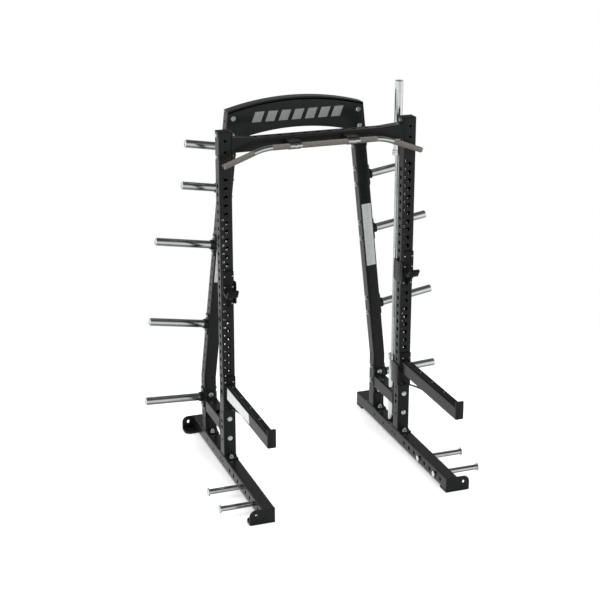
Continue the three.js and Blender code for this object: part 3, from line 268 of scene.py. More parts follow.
def sheared(parts, at, slope):
    """Points at height v = at moved along v by slope * u, which mitres that end of a tube."""
    out = []
    for p, f in parts:
        q = p.copy()
        end = np.abs(q[:, 2] - at) < 1e-6
        q[end, 2] += slope * q[end, 0]
        out.append((q, f))
    return out


def bead(half_u, half_w, radius):
    """A weld round a tube, in (u, w, v): its radius swells by |sin| of the way along, once a ripple."""
    ripple = 5.0
    loop = dense(round_rect(0, 0, 2 * half_u, 2 * half_w, CORNER, 5), 1.6)
    step = np.linalg.norm(np.roll(loop, -1, 0) - loop, axis=1)
    way = np.concatenate([[0], np.cumsum(step)[:-1]])
    out = loop - inset(loop, 1.0)
    size = radius * (0.86 + 0.2 * np.abs(np.sin(np.pi * way / ripple)))
    t = np.linspace(0, 2 * np.pi, 8, endpoint=False)
    side = loop[:, None, :] + (size[:, None] * np.cos(t))[:, :, None] * out[:, None, :]
    up = size[:, None] * np.sin(t)
    return sheet(np.concatenate([side, up[:, :, None]], 2), around=True, along=True)


def bolt(place, axis, height=9.0, stud=0.0):
    """A washer, a chamfered hexagon and, with stud, a threaded end beyond it, revolved about axis."""
    head, thin, turns = 13.5, 2.2, 14
    rim = head + 1.6
    washer = [(BOLT_R, 0), (rim, 0), (rim, thin - 0.4), (rim - 0.4, thin), (BOLT_R, thin)]
    hexagon = [(0, thin), (head, thin), (head, height - 1.6), (head * 0.86, height), (0, height)]
    parts = [lathe(washer, place, axis, 28), lathe(hexagon, place, axis, 6, 0.3)]
    if stud:
        h = height + np.linspace(0, stud, turns)
        r = 6.9 - 0.5 * (np.arange(turns) % 2)
        tip_h = height + stud + 0.8
        parts.append(lathe([*zip(r, h), (5.6, tip_h), (0, tip_h)], place, axis, 16))
    return parts


def through_bolt(head_at, nut_at, axis, stud=3):
    """A bolt's head that looks along axis, and its nut and threaded end on the other side."""
    return bolt(head_at, axis) + bolt(nut_at, -axis, stud=stud)


def dome(place, axis, radius, height):
    """A button head: r = radius * cos, h = height * sin over a quarter turn."""
    t = np.linspace(0, np.pi / 2, 6)
    return lathe([(radius, 0)] + list(zip(radius * np.cos(t), 0.5 + height * np.sin(t))), place, axis, 18)


def rings_on(path, radii):
    """Rings round a path in an XZ plane: P = c + r * (cos a * n + sin a * Y), n square to the tangent."""
    tangent = np.gradient(path, axis=0)
    tangent /= np.linalg.norm(tangent, axis=1)[:, None]
    normal = np.stack([-tangent[:, 2], np.zeros(len(path)), tangent[:, 0]], 1)
    a = np.linspace(0, 2 * np.pi, 28, endpoint=False)
    ring = np.cos(a)[None, :, None] * normal[:, None, :] + np.sin(a)[None, :, None] * Y
    return path[:, None, :] + np.broadcast_to(radii, len(path))[:, None, None] * ring


# Finishes
def linear(code):
    """An sRGB hex value as the linear colour that a shader socket takes."""
    shares = [int(code[i:i + 2], 16) / 255 for i in (1, 3, 5)]
    return [c / 12.92 if c <= 0.04045 else ((c + 0.055) / 1.055) ** 2.4 for c in shares] + [1.0]


def grey(value):
    """A neutral colour of one linear value."""
    return [value, value, value, 1.0]


def put(tree, kind, values=None, links=None):
    """One shader node with its settings and its incoming links."""
    made = tree.nodes.new(kind)
    for name, value in (values or {}).items():
        if isinstance(name, int) or name in made.inputs:
            made.inputs[name].default_value = value
        else:
            setattr(made, name, value)
    for name, source in (links or {}).items():
        tree.links.new(source, made.inputs[name])
    return made


def finish(name, dark, light, rough, metallic, mottle_mm, grain_mm, grain_depth,
           extra=None, stretch=(1, 1, 1), shine=0.5):
    """A finish from two colours, a roughness range, its mottling's size and its grain's size and depth.

    Of three cloud noises one blends the colours, one is the roughness and one, the grain, is the relief.
    """
    made = bpy.data.materials.new(name)
    made.use_nodes = True
    tree = made.node_tree
    tree.nodes.clear()
    coords = put(tree, "ShaderNodeTexCoord").outputs["Object"]
    lined = put(tree, "ShaderNodeMapping", {"Scale": stretch}, {"Vector": coords}).outputs["Vector"]
    clouds = ((coords, mottle_mm, 4.0), (lined, grain_mm, 2.0), (lined, mottle_mm / 3, 3.0))
    mottle, grain, haze = [
        put(tree, "ShaderNodeTexNoise", {"Scale": 1000 / size, "Detail": detail},
            {"Vector": space}).outputs["Fac"] for space, size, detail in clouds]
    clouded = {"From Min": 0.3, "From Max": 0.7}
    share = put(tree, "ShaderNodeMapRange", clouded, {"Value": mottle})
    colour = put(tree, "ShaderNodeMix", {"data_type": "RGBA", 6: linear(dark), 7: linear(light)},
                 {"Factor": share.outputs["Result"]})
    roughness = put(tree, "ShaderNodeMapRange", {**clouded, "To Min": rough[0], "To Max": rough[1]},
                    {"Value": haze})
    shader = put(tree, "ShaderNodeBsdfPrincipled", {"Metallic": metallic, "Specular IOR Level": shine},
                 {"Base Color": colour.outputs[2], "Roughness": roughness.outputs["Result"]})
    height = extra(tree, coords, shader) if extra else grain
    bump = put(tree, "ShaderNodeBump", {"Strength": 0.6, "Distance": grain_depth / 1000}, {"Height": height})
    tree.links.new(bump.outputs["Normal"], shader.inputs["Normal"])
    put(tree, "ShaderNodeOutputMaterial", links={"Surface": shader.outputs["BSDF"]})
    return made


def knurl(tree, coords, shader):
    """Two crossed diagonal ridges round the bar, left off within 60 mm of its middle, where it is plain."""
    bar_middle, plain, dull = 1.19, 0.06, (0.14, 0.4)
    height = put(tree, "ShaderNodeSeparateXYZ", links={"Vector": coords}).outputs["Z"]
    waves = []
    for lean in (1.0, -1.0):
        turned = put(tree, "ShaderNodeMapping", {"Rotation": (0.6 * lean, 0.6 * lean, 0.0)}, {"Vector": coords})
        waves.append(put(tree, "ShaderNodeTexWave", {"Scale": 260.0, "bands_direction": "Z"},
                         {"Vector": turned.outputs["Vector"]}))
    crossed = put(tree, "ShaderNodeMath", {"operation": "MULTIPLY"},
                  {0: waves[0].outputs["Fac"], 1: waves[1].outputs["Fac"]})
    off_middle = put(tree, "ShaderNodeMath", {"operation": "SUBTRACT", 1: bar_middle}, {0: height})
    away = put(tree, "ShaderNodeMath", {"operation": "ABSOLUTE"}, {0: off_middle.outputs[0]})
    held = put(tree, "ShaderNodeMapRange", {"From Min": plain, "From Max": plain + 0.002},
               {"Value": away.outputs[0]})
    rough = put(tree, "ShaderNodeMapRange", {"To Min": dull[0], "To Max": dull[1]},
                {"Value": held.outputs["Result"]})
    tree.links.new(rough.outputs["Result"], shader.inputs["Roughness"])
    return put(tree, "ShaderNodeMath", {"operation": "MULTIPLY"},
               {0: crossed.outputs[0], 1: held.outputs["Result"]}).outputs[0]


# Satin powder coat: near black, with an orange-peel skin and faint cloudiness on its flat faces
COAT = finish("black_powder_coat", "#161717", "#191a1a", (0.26, 0.3), 0.0, 60, 1.6, 0.008, shine=0.22)
# Bright chrome plate: a mirror with faint polishing haze along it
CHROME = finish("chrome_plate", "#dadcdd", "#e4e6e7", (0.12, 0.18), 1.0, 45, 2.2, 0.001, stretch=(0.2, 1, 1))
# Knurled chrome of the bar's grip, duller where the diamonds are cut
KNURLED = finish("knurled_chrome", "#cfd1d2", "#dadcdd", (0.14, 0.4), 1.0, 30, 1.2, 0.1, extra=knurl)
# Bright zinc plate on bolts: a little cloudy and blue-grey
ZINC = finish("bright_zinc_plate", "#e2e5e6", "#f2f4f4", (0.2, 0.34), 1.0, 6, 0.9, 0.01)
# Moulded wear plastic: matt black with a fine spark-eroded grain
PLASTIC = finish("matt_wear_plastic", "#101010", "#181818", (0.5, 0.65), 0.0, 25, 0.8, 0.05, shine=0.2)
# Rough grip coating: sandy warm grey with dark flecks and a coarse grain that catches light
GRIP = finish("rough_grip_coating", "#4a4743", "#7c7771", (0.55, 0.75), 0.0, 4, 1.3, 0.25)
# Brushed light plate on the rear uprights: fine lines along it
PLATE = finish("brushed_light_plate", "#bfc1c1", "#cdcfcf", (0.4, 0.5), 0.1, 20, 1.2, 0.02,
               stretch=(0.04, 0.04, 1))
# White sheet plate on the left spotter arm: satin, almost the colour of the background
SHEET = finish("white_sheet_plate", "#dcdede", "#e6e8e8", (0.4, 0.5), 0.0, 20, 1.2, 0.02, shine=0.3)
# Grey paint of the panel's bars, a little mottled
GREY_PAINT = finish("grey_paint", "#787a7a", "#888a8a", (0.4, 0.55), 0.1, 12, 1.0, 0.03)
# The CAD nodes wear the powder coat too
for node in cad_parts.values():
    node.data.materials.clear()
    node.data.materials.append(COAT)


def mesh_of(name, parts, mirror=False):
    """Surfaces in millimetres as one mesh in metres, welded and faced outward."""
    points, faces = merged(parts)
    points = points.copy()
    points[:, 1] += FRAME_Y
    if mirror:
        points[:, 0] *= -1
    mesh = bpy.data.meshes.new(name)
    mesh.from_pydata((points / 1000).tolist(), [], [row for one in faces for row in one.tolist()])
    built = bmesh.new()
    built.from_mesh(mesh)
    bmesh.ops.remove_doubles(built, verts=built.verts, dist=2e-6)
    bmesh.ops.dissolve_degenerate(built, edges=built.edges, dist=1e-6)
    bmesh.ops.recalc_face_normals(built, faces=built.faces)
    built.to_mesh(mesh)
    built.free()
    return mesh


def without(mesh, tools):
    """The mesh less the closed solids of tools, or the mesh itself where they can't be cut from it."""
    held = [bpy.data.objects.new(one.name, one) for one in (mesh, tools)]
    for one in held:
        bpy.context.scene.collection.objects.link(one)
    cut = held[0].modifiers.new("cut", "BOOLEAN")
    cut.object, cut.operation, cut.solver = held[1], "DIFFERENCE", "EXACT"
    left = bpy.data.meshes.new_from_object(held[0].evaluated_get(bpy.context.evaluated_depsgraph_get()))
    for one in held:
        bpy.data.objects.remove(one)
    return left if len(left.polygons) > len(mesh.polygons) else mesh


def piece(name, parts, finish_of, body, replaces=(), mirror=False, tools=()):
    """One object from surfaces in millimetres, cut by tools, smooth but for sharp edges, riding on a body."""
    mesh = mesh_of(name, parts, mirror)
    if tools:
        mesh = without(mesh, mesh_of("cut_out", tools))
    mesh.materials.append(finish_of)
    mesh.shade_smooth()
    mesh.set_sharp_from_angle(angle=CREASE)
    made = bpy.data.objects.new(name, mesh)
    bpy.context.scene.collection.objects.link(made)
    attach(made, body)
    if replaces:
        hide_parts(*replaces)
    return made


def pair(name, parts, finish_of, body="rack", replaces=()):
    """The same piece on the right, and mirrored on the left; {} in a body's name takes the side."""
    for side in ("right", "left"):
        piece(f"{side}_{name}_look", parts, finish_of, body.format(side),
              [f"{side}_{one}" for one in replaces], mirror=side == "left")


# Base rails: a row of pin holes, and small holes near the uprights
rail_holes = [(RAIL_FIRST + WIDE_PITCH * i, PIN_R) for i in range(8)]
rail_holes += [(y, BOLT_R) for y in (40, 83, 227, 371)]
rail = square_tube(HALF, HALF, FRONT_END + FACE, REAR_END - FACE, {"+u": rail_holes, "-u": rail_holes})
rail = [moved(p, (CENTRE, 0, RAIL_MID), X, Z, Y) for p in rail]
pair("base_rail", rail, COAT, replaces=["base_rail"])

# Foot plates: a plate on the rail's end with an ear and its upright slot, and a flange on the floor
ear_end, ear_r, toe_r = OUTER + 75, 38, 8
ear_slot = (OUTER + 36.5, 55.0, 8.0, 4.0)
for end, face, inward in (("front", FRONT_END, 1), ("rear", REAR_END, -1)):
    toe = arc(ear_end - toe_r, toe_r, toe_r, -np.pi / 2, 0, 4)
    ear = arc(ear_end - ear_r, RAIL_TOP - ear_r, ear_r, 0, np.pi / 2, 9)
    outline = dense(np.concatenate([[[INNER, 0.0]], toe, ear, [[INNER, RAIL_TOP]]]), 9)
    corner = arc(ear_end - ear_r, 46, ear_r, 0, np.pi / 2, 9)
    lip = np.concatenate([[[INNER, 7], [ear_end, 7]], corner, [[INNER, 84]]]) * [1, inward] + [0, face]
    parts = [facing(end, outline, THICK, face, 1.0, ear_slot), facing("top", lip, 15, 15.0, 1.5)]
    pair(f"{end}_foot_plate", parts, COAT, replaces=[f"{end}_foot_plate"])

# Band pegs: a bright rod with a nut at the rail's inner face and a flat disc at its tip
nut = [(0, -12.3), (16.5, -12.3), (18, -11), (18, -2), (17, -0.6), (12, -0.6)]
rod = [(12, 0.4), (15, 0.4), (16, 1.4), (16, 198.5)]
disc = [(25.2, 199), (26, 200), (26, 204), (25, 205), (13, 205), (11.5, 203.8), (0, 203.8)]
profile = nut + [(r, TUBE + h) for r, h in rod + disc]
for i, row in ((1, 4), (2, 1)):
    place = (INNER, RAIL_FIRST + WIDE_PITCH * row, RAIL_MID)
    pair(f"band_peg_{i}", [lathe(profile, place, X, 40)], CHROME, replaces=[f"band_peg_{i}"])


def flange(face):
    """The flange under an upright, its weld, and its two bolts."""
    seat = FOOT + 6
    plate = facing("top", round_rect(CENTRE, face + HALF, TUBE, TUBE + 92, 4), 6, seat)
    ring = moved(bead(HALF + 0.5, HALF + 0.5, 3.4), (CENTRE, face + HALF, seat), X, Y, Z)
    bolts = []
    for y in (face - 25, face + TUBE + 25):
        bolts += bolt((CENTRE, y, seat), Z, height=14, stud=9)
    return [plate, ring], bolts


def numeral(number):
    """The outer outlines of a number about the middle of its foot; a lasered wall loses the islands."""
    narrowed = [0.8, 1]
    curve = bpy.data.curves.new("number", "FONT")
    curve.body, curve.align_x, curve.resolution_u = str(number), "CENTER", 2
    curve.size, curve.offset, curve.space_character = 18.0, 0.6, 1.12
    holder = bpy.data.objects.new("number", curve)
    flat = bpy.data.meshes.new_from_object(holder)
    points = np.empty(len(flat.vertices) * 3)
    flat.vertices.foreach_get("co", points)
    points = points.reshape(-1, 3)[:, :2] * narrowed
    edges = {edge for face in flat.polygons
             for edge in zip(face.vertices, [*face.vertices[1:], face.vertices[0]])}
    after = {a: b for a, b in edges if (b, a) not in edges}
    loops = []
    while after:
        start, at = after.popitem()
        loop = [start]
        while at != start:
            loop.append(at)
            at = after.pop(at)
        if twice_area(points[loop]) > 0:
            loops.append(points[loop])
    bpy.data.objects.remove(holder)
    bpy.data.curves.remove(curve)
    bpy.data.meshes.remove(flat)
    return loops


def number_cuts(x):
    """Each row's number as a solid through the front wall, and one read from behind through the back wall."""
    beside, above, past = 22, 14, 1
    cuts = []
    for number, z in enumerate(FRONT_ROWS[::-1], 1):
        for loop in numeral(number):
            for turn, near, far in ((1, -past, WALL + past), (-1, TUBE + past, TUBE - WALL - past)):
                flat = loop[:, :1] * turn * X + loop[:, 1:] * Z
                cuts.append(capped(np.stack([(x - turn * beside, y, z + above) + flat for y in (near, far)])))
    return cuts


# Front uprights, whose row numbers are lasered through the front and back walls, so light shows in them
front_holes = [(z, PIN_R) for z in FRONT_ROWS]
front_holes += [(z, BOLT_R) for z in (TOP - 53, TOP - 117, *TIE_BOLTS)]
side_holes = [(z, PIN_R) for z in (*SIDE_ROWS, LOW_PEG, 282)]
side_holes += [(z, BOLT_R) for z in (379, 198, *CROSS_BOLTS)]
post = square_tube(HALF, HALF, FOOT, TOP - 4.3,
                   {"+u": side_holes, "-u": side_holes, "+w": front_holes, "-w": front_holes})
post = [moved(p, (CENTRE, HALF, 0), X, Y, Z) for p in post]
steel, bolts = flange(0.0)
pair("front_upright_flange", steel, COAT)
pair("front_flange_bolts", bolts, ZINC)
for side, x in (("right", CENTRE), ("left", -CENTRE)):
    piece(f"{side}_front_upright_look", post, COAT, "rack", [f"{side}_front_upright"],
          mirror=side == "left", tools=number_cuts(x))

# Caps: a shallow crowned plastic lid with a soft edge
lid = facing("top", round_rect(CENTRE, HALF, TUBE, TUBE, CORNER, 6), 4, TOP, 1.9)
pair("upright_cap", [lid], PLASTIC, replaces=["upright_cap"])

# Side ties, with the holder's round hole through top and bottom
holder_hole = [(BAR_Y, 33.0)]
tie = square_tube(HALF, HALF, TUBE + SUNK, REAR_Y - SUNK,
                  {"+w": holder_hole, "-w": holder_hole}, r=4.6, wall=4.2)
parts = [moved(p, (CENTRE, 0, TIE_Z), X, Z, Y) for p in tie]
for end, y, weld_y in (("front", TUBE + GAP, TUBE + FACE), ("rear", REAR_Y - GAP, REAR_Y - FACE)):
    parts.append(facing(end, round_rect(CENTRE, TIE_Z, TUBE, 170, 4), THICK, y))
    parts.append(moved(bead(HALF, HALF, 3.2), (CENTRE, weld_y, TIE_Z), X, Z, Y))
pair("side_tie", parts, COAT, replaces=["side_tie"])
bolts = []
for z in TIE_BOLTS:
    bolts += through_bolt((CENTRE, -GAP, z), (CENTRE, TUBE + FACE, z), -Y, 4)
    bolts += through_bolt((CENTRE, REAR_Y - FACE, z), (CENTRE, REAR_FACE, z), -Y, 4)
pair("side_tie_bolts", bolts, ZINC)

# Rear uprights: a plumb lower length mitred to the leaning upper one
mitre = math.tan(LEAN / 2)
top_row = UPPER - 54
peg_rows = [top_row - PITCH * row for row in (3, 8, 15, 25)]
small = [(top_row - PITCH * i, BOLT_R) for i in range(32)]
peg_bolts = [(s + d, BOLT_R) for s in peg_rows for d in (-PITCH, PITCH)]
panel_holes = [(UPPER - drop, BOLT_R) for drop in PANEL_DROPS]
low_small = [(LOW_PEG + PITCH * i, BOLT_R) for i in range(-3, 3)]
low_inner = [(LOW_PEG + PITCH * i, BOLT_R) for i in (-1, 1)]
tie_holes = [(z, BOLT_R) for z in TIE_BOLTS]
lower = square_tube(HALF, HALF, FOOT, BEND_Z,
                    {"+u": low_small, "-u": low_inner, "+w": tie_holes, "-w": tie_holes})
upper = square_tube(HALF, HALF, 0.0, UPPER,
                    {"+u": small, "-u": peg_bolts, "+w": panel_holes, "-w": panel_holes})
for p, _ in lower + upper:
    p[:, 0] -= HALF
lower, upper = sheared(lower, BEND_Z, mitre), sheared(upper, 0.0, -mitre)
steel, bolts = flange(REAR_Y)
bend = np.array([OUTER, REAR_MID, BEND_Z])
parts = [moved(p, (OUTER, REAR_MID, 0), X, Y, Z) for p in lower]
parts += [moved(p, bend, LEAN_OUT, Y, LEAN_UP) for p in upper]
pair("rear_upright", parts + steel, COAT, replaces=["rear_upright"])
pair("rear_flange_bolts", bolts, ZINC)

# Weight pegs: black plate and collar, chromed horn tipped up three degrees, two bolts; the top two are short
tip, SHORT_HORN, LONG_HORN = math.radians(3), 235, 370
collar = [(0, 4), (29, 4), (30, 5.5), (30, 25), (28.6, 26.6), (24.2, 26.6), (20, 26.6)]
seats = [(bend + s * LEAN_UP, LEAN_OUT, LEAN_UP) for s in peg_rows]
seats.append((np.array([OUTER, REAR_MID, LOW_PEG]), X, Z))
for i, (seat, out, up) in enumerate(seats, 1):
    length = SHORT_HORN if i < 3 else LONG_HORN
    along = math.cos(tip) * out + math.sin(tip) * up
    horn = [(20, 24), (24, 24.5), (24, length - 4), (23, length - 1.6), (20.5, length - 0.6),
            (18, length - 0.6), (17.2, length - 2.4), (0, length - 2.4)]
    face = seat + 6.3 * out
    base = slab(round_rect(0, 0, 60, 130, 8), 6, face, Y, up, out, 1.2)
    bolts = []
    for s in (-PITCH, PITCH):
        bolts += through_bolt(face + s * up, seat - (TUBE + GAP) * out + s * up, out)
    pair(f"weight_peg_{i}", [lathe(horn, seat, along, 40)], CHROME, replaces=[f"weight_peg_{i}"])
    pair(f"weight_peg_{i}_base", [lathe(collar, seat, along, 40), base], COAT)
    pair(f"weight_peg_{i}_bolts", bolts, ZINC)

# Top crossmember: its upper face rises over the last stretch to each end plate
plate_x, rise = INNER - GAP, 12
flare = plate_x - 137
pins = [(WIDE_PITCH * i, PIN_R) for i in range(-5, 6)]
parts = []
for p, f in square_tube(HALF, HALF, 7 - plate_x, plate_x - 7, {"+w": pins}, extra=(-flare, flare)):
    p[:, 1] += np.where(p[:, 1] > 0, rise * np.clip((np.abs(p[:, 2]) - flare) / 130, 0, 1), 0)
    parts.append(moved((p, f), (0, HALF, CROSS_Z), Y, Z, X))
for side, sign in (("left", -1), ("right", 1)):
    parts.append(facing(side, round_rect(HALF, 2016.0, TUBE, 170, 5), THICK, sign * plate_x))
    weld = (sign * (plate_x - THICK), HALF, CROSS_Z + rise / 2)
    parts.append(moved(bead(HALF, HALF + rise / 2, 3.2), weld, Y, Z, X))
piece("top_crossmember_look", parts, COAT, "rack", ["top_crossmember"])
for i, z in enumerate(CROSS_BOLTS, 1):
    bolts = through_bolt((OUTER + GAP, HALF, z), (plate_x - FACE, HALF, z), X)
    pair(f"cross_bolt_{i}", bolts, ZINC, replaces=[f"cross_bolt_{i}"])


def bow(half_width, corner_z, apex_z):
    """An arc through two corners of one height and an apex over the middle, from right to left."""
    rise_of = apex_z - corner_z
    radius = (half_width ** 2 + rise_of ** 2) / (2 * rise_of)
    sweep = math.asin(half_width / radius)
    return arc(0, apex_z - radius, radius, np.pi / 2 - sweep, np.pi / 2 + sweep, 33)


def rear_outer(z):
    """Where the outer face of a rear upright stands at a height over its bend."""
    return OUTER - (z - BEND_Z) * math.tan(LEAN)


# Arched panel: a sheet between two bows, with a flap that turns back over the uprights
low, high = 1960.0, 2130.0
low_x = rear_outer(low)
upper_bow = bow(rear_outer(high), high, high + 60)
lower_bow = bow(low_x - 79, low, low + 50)[::-1]
outline = np.concatenate([lower_bow, [[low_x, low]], upper_bow - [0, 5], [[-low_x, low]]])
back, flap_end = REAR_Y - GAP, REAR_Y + TUBE
turn = arc(back + 1, -7, 7, np.pi, np.pi / 2, 6)
lip = np.concatenate([[[back - 6, -16]], turn, [[flap_end, 0], [flap_end, -6]],
                      [[back + 3, -6], [back, -9], [back, -16]]])
flap = np.stack(np.broadcast_arrays(upper_bow[:, :1], lip[:, 0], upper_bow[:, 1:] + lip[:, 1]), -1)
panel = [facing("front", outline, 6, back - 6, 0.8), capped(flap)]
piece("arched_panel_look", panel, COAT, "rack", ["arched_panel"])
for i, drop in enumerate(PANEL_DROPS, 1):
    spot = np.array([OUTER, 0, BEND_Z]) + (UPPER - drop) * LEAN_UP - HALF * LEAN_OUT
    bolts = through_bolt(spot + (back - 6.3) * Y, spot + REAR_FACE * Y, -Y)
    pair(f"panel_bolt_{i}", bolts, ZINC, replaces=[f"panel_bolt_{i}"])

# Seven plain slanted bars on the panel
bars = []
for k in range(7):
    left = -284 + 84 * k
    shape = [[left, 2056.0], [left + 58, 2056.0], [left + 82, 2118.0], [left + 24, 2118.0]]
    bars.append(facing("front", shape, 1.2, back - 7.2, 0.4))
piece("panel_bars", bars, GREY_PAINT, "rack")


def grip_coat(start, stop):
    """Grip coating on a straight stretch of the chin-up bar, thinning out at both ends."""
    share = np.linspace(0, 1, 40)
    swell = 0.75 * np.clip(60 * np.minimum(share, 1 - share), 0, 1)
    return sheet(rings_on(np.linspace(start, stop, 40), CHIN_R - 0.05 + swell), around=True)


# Chin-up bar: level in the middle, bent on each side into a drooping wing
knee, wing_end = np.array([BEND_X, CHIN_Z]), np.array([END_X, END_Z])
run = wing_end - knee
run /= np.linalg.norm(run)
before, after = knee - [60, 0], knee + 60 * run
half_path = np.concatenate([np.linspace([0, CHIN_Z], before, 24)[:-1], curved(before, knee, after, 15),
                            np.linspace(after, wing_end, 18)[1:]])
path = np.insert(np.concatenate([half_path[:0:-1] * [-1, 1], half_path]), 1, CHIN_Y, axis=1)
outside, inside = rings_on(path, CHIN_R), rings_on(path, CHIN_R - 3)
tube = sheet(np.concatenate([outside, inside[::-1]]), around=True, along=True)
screws = [dome((sign * 178.0, CHIN_Y - CHIN_R, CHIN_Z), -Y, 10, 7) for sign in (-1, 1)]
piece("chin_up_bar_look", [tube], CHROME, "rack", ["chin_up_bar"])
piece("chin_up_bar_screws", screws, ZINC, "rack")
coats = [grip_coat([low, CHIN_Y, CHIN_Z], [high, CHIN_Y, CHIN_Z])
         for low, high in ((-318, -213), (-139, 143), (216, 322))]
for sign in (-1, 1):
    coats.append(grip_coat([sign * (BEND_X + 66 * run[0]), CHIN_Y, CHIN_Z + 66 * run[1]],
                           [sign * (END_X - 2 * run[0]), CHIN_Y, END_Z - 2 * run[1]]))
piece("chin_up_bar_grips", coats, GRIP, "rack")

# The bar's saddle brackets, with a lower jaw that is cut back
saddle = arc(CHIN_Y, CHIN_Z, 16.8, np.pi / 2, -0.955, 13)
jaws = np.array([[CHIN_Y + 17, -24], [-20, -24], [-14, -26], [-9, -31], [-8, -33], [-GAP, -33],
                 [-GAP, 33], [-8, 33], [-9, 31], [-14, 26], [-20, 24], [CHIN_Y, 24]])
bracket = facing("right", np.concatenate([saddle, jaws + [0, CHIN_Z]]), 73, 214.5, 1.2)
pair("chin_bracket", [bracket], COAT, replaces=["chin_bracket"])

# Barbell stood in the right holder: a sleeve with a grooved collar at each end of a knurled shaft
foot = np.array([CENTRE, BAR_Y, FOOT])
sleeve = [(0, 0.6), (10, 0.6), (11, 0), (22, 0), (24, 1), (25, 3), (25, 60), (24.6, 60.5), (24.6, 61.5),
          (25, 62), (25, 420), (24.4, 420.6), (24.4, 422), (29.8, 422), (31, 423.4), (31, 431), (30.2, 432),
          (30.2, 434), (31, 435), (31, 453.4), (29.6, 455), (15.2, 455), (15.2, 440)]
for end, place, axis in (("lower", foot, Z), ("upper", foot + BAR_LENGTH * Z, -Z)):
    name = f"barbell_{end}_sleeve"
    piece(f"{name}_look", [lathe(sleeve, place, axis, 48)], CHROME, name, [name])
half_shaft = [(0, 12.6), (14, 12.6), (14, 700), (13.7, 701), (13.7, 705), (14, 706)]
shaft = half_shaft + [(r, BAR_LENGTH - h) for r, h in half_shaft[::-1]]
piece("barbell_shaft_look", [lathe(shaft, foot, Z, 40)], KNURLED,
      "barbell_shaft", ["barbell_shaft"])


def under(line, thick):
    """A line of points moved down by thick, square to each length and mitred at each bend."""
    step = np.diff(line, axis=0)
    step /= np.linalg.norm(step, axis=1)[:, None]
    before, after = np.vstack([step[:1], step]), np.vstack([step, step[-1:]])
    along = before + after
    along /= np.linalg.norm(along, axis=1)[:, None]
    normal = np.stack([-along[:, 1], along[:, 0]], 1)
    return line + normal * (thick / (along * after).sum(1))[:, None]


def eased(loop, reach):
    """Each corner of an outline turned into a curve through points reach before and after it."""
    loop = np.asarray(loop, float)
    out = []
    for before, at, after in zip(np.roll(loop, 1, 0), loop, np.roll(loop, -1, 0)):
        p, q = (at + (end - at) * min(reach / np.linalg.norm(end - at), 0.45) for end in (before, after))
        out.append(curved(p, at, q, 4))
    return np.concatenate(out)


def front_plate(left, right, low, high, tab_low, tab_high, reach):
    """The plate of a cup or an arm in front of the upright, with a tab that meets the side plate."""
    outline = [[left, low], [right, low], [right, high], [left, high],
               [left, tab_high], [CHEEK_IN, tab_high], [CHEEK_IN, tab_low], [left, tab_low]]
    return facing("front", eased(outline, reach), THICK, -FACE)


def resting_on(line, y):
    """The height of the first stretch of a line at y."""
    (y0, z0), (y1, z1) = line[:2]
    return z1 + (z0 - z1) * (y - y1) / (y0 - y1)


# Bar cups: a bent plate hook over a rib, a side plate and a pin
PIN = [(0, -1.3), (12, -1.3), (12, 46), (10.5, 50), (8, 52), (0, 52)]
left, right = CENTRE - 33, CENTRE + 33
tab_low, tab_high, rib_low = CUP_Z - 134, CUP_Z + 3, CUP_Z - 152
line = np.array([[-FACE, CUP_Z - 58], [-88, CUP_Z - 66], [-113, CUP_Z - 26]])
low_line = under(line, 6.0)
bend_y, bend_z = low_line[1]
cradle = [[-SUNK, line[0, 1]], line[1], line[2], low_line[2], low_line[1], [-SUNK, low_line[0, 1]]]
rib = [[-SUNK, rib_low], [-SUNK, low_line[0, 1] + 1], [bend_y, bend_z + 1],
       [(bend_y * 2 - FACE) / 3, (bend_z * 2 + rib_low) / 3 + 6],
       [(bend_y - FACE * 2) / 3, (bend_z + rib_low * 2) / 3 + 6]]
cheek = [[-28, tab_low], [96, tab_low], [96, tab_high], [72, tab_high], [HALF, tab_high - 9],
         [0, tab_high], [-28, tab_high]]
parts = [
    front_plate(left, right, CUP_Z - 164.4, CUP_Z + 71.6, tab_low, tab_high, 8),
    facing("right", eased(cradle, 5), 66, right),
    facing("right", eased(rib, 4), 12, CENTRE + 6),
    facing("right", eased(cheek, 18), THICK, CHEEK_OUT),
    lathe(PIN, (CENTRE, 0, CUP_Z), Y, 32),
]
pair("bar_cup", parts, COAT, "{}_bar_cup", ["bar_cup"])

# The cup's liner: a 9 mm layer on the hook and a 12 mm one up its back
seat_line, pad_line = under(line, -GAP), under(line, -9.3)
way = (line[2] - line[1]) / np.linalg.norm(line[2] - line[1])
back_y, face_y, liner_top, soft = -8.6, -20.6, CUP_Z + 69.6, 4.5
knee_y = pad_line[1, 0] + soft
liner = [[back_y, seat_line[0, 1]], [back_y, liner_top], [face_y, liner_top],
         [face_y, resting_on(pad_line, face_y) + soft], [face_y - soft, resting_on(pad_line, face_y - soft)],
         [knee_y, resting_on(pad_line, knee_y)], pad_line[1] + way * soft, pad_line[2],
         (seat_line[2] + pad_line[2]) / 2 + way * soft, seat_line[2], seat_line[1]]
pair("bar_cup_liner", [facing("right", eased(liner, 3), 66, right, 1.4)], PLASTIC,
     "{}_bar_cup", ["bar_cup_liner"])
rivets = [dome((x, face_y, z), -Y, 4.6, 2.2) for x in RIVET_X for z in (1254, 1188)]
rivets += [dome((x, -FACE, 1082), -Y, 4.6, 2.2) for x in RIVET_X]
pair("bar_cup_rivets", rivets, ZINC, "{}_bar_cup")

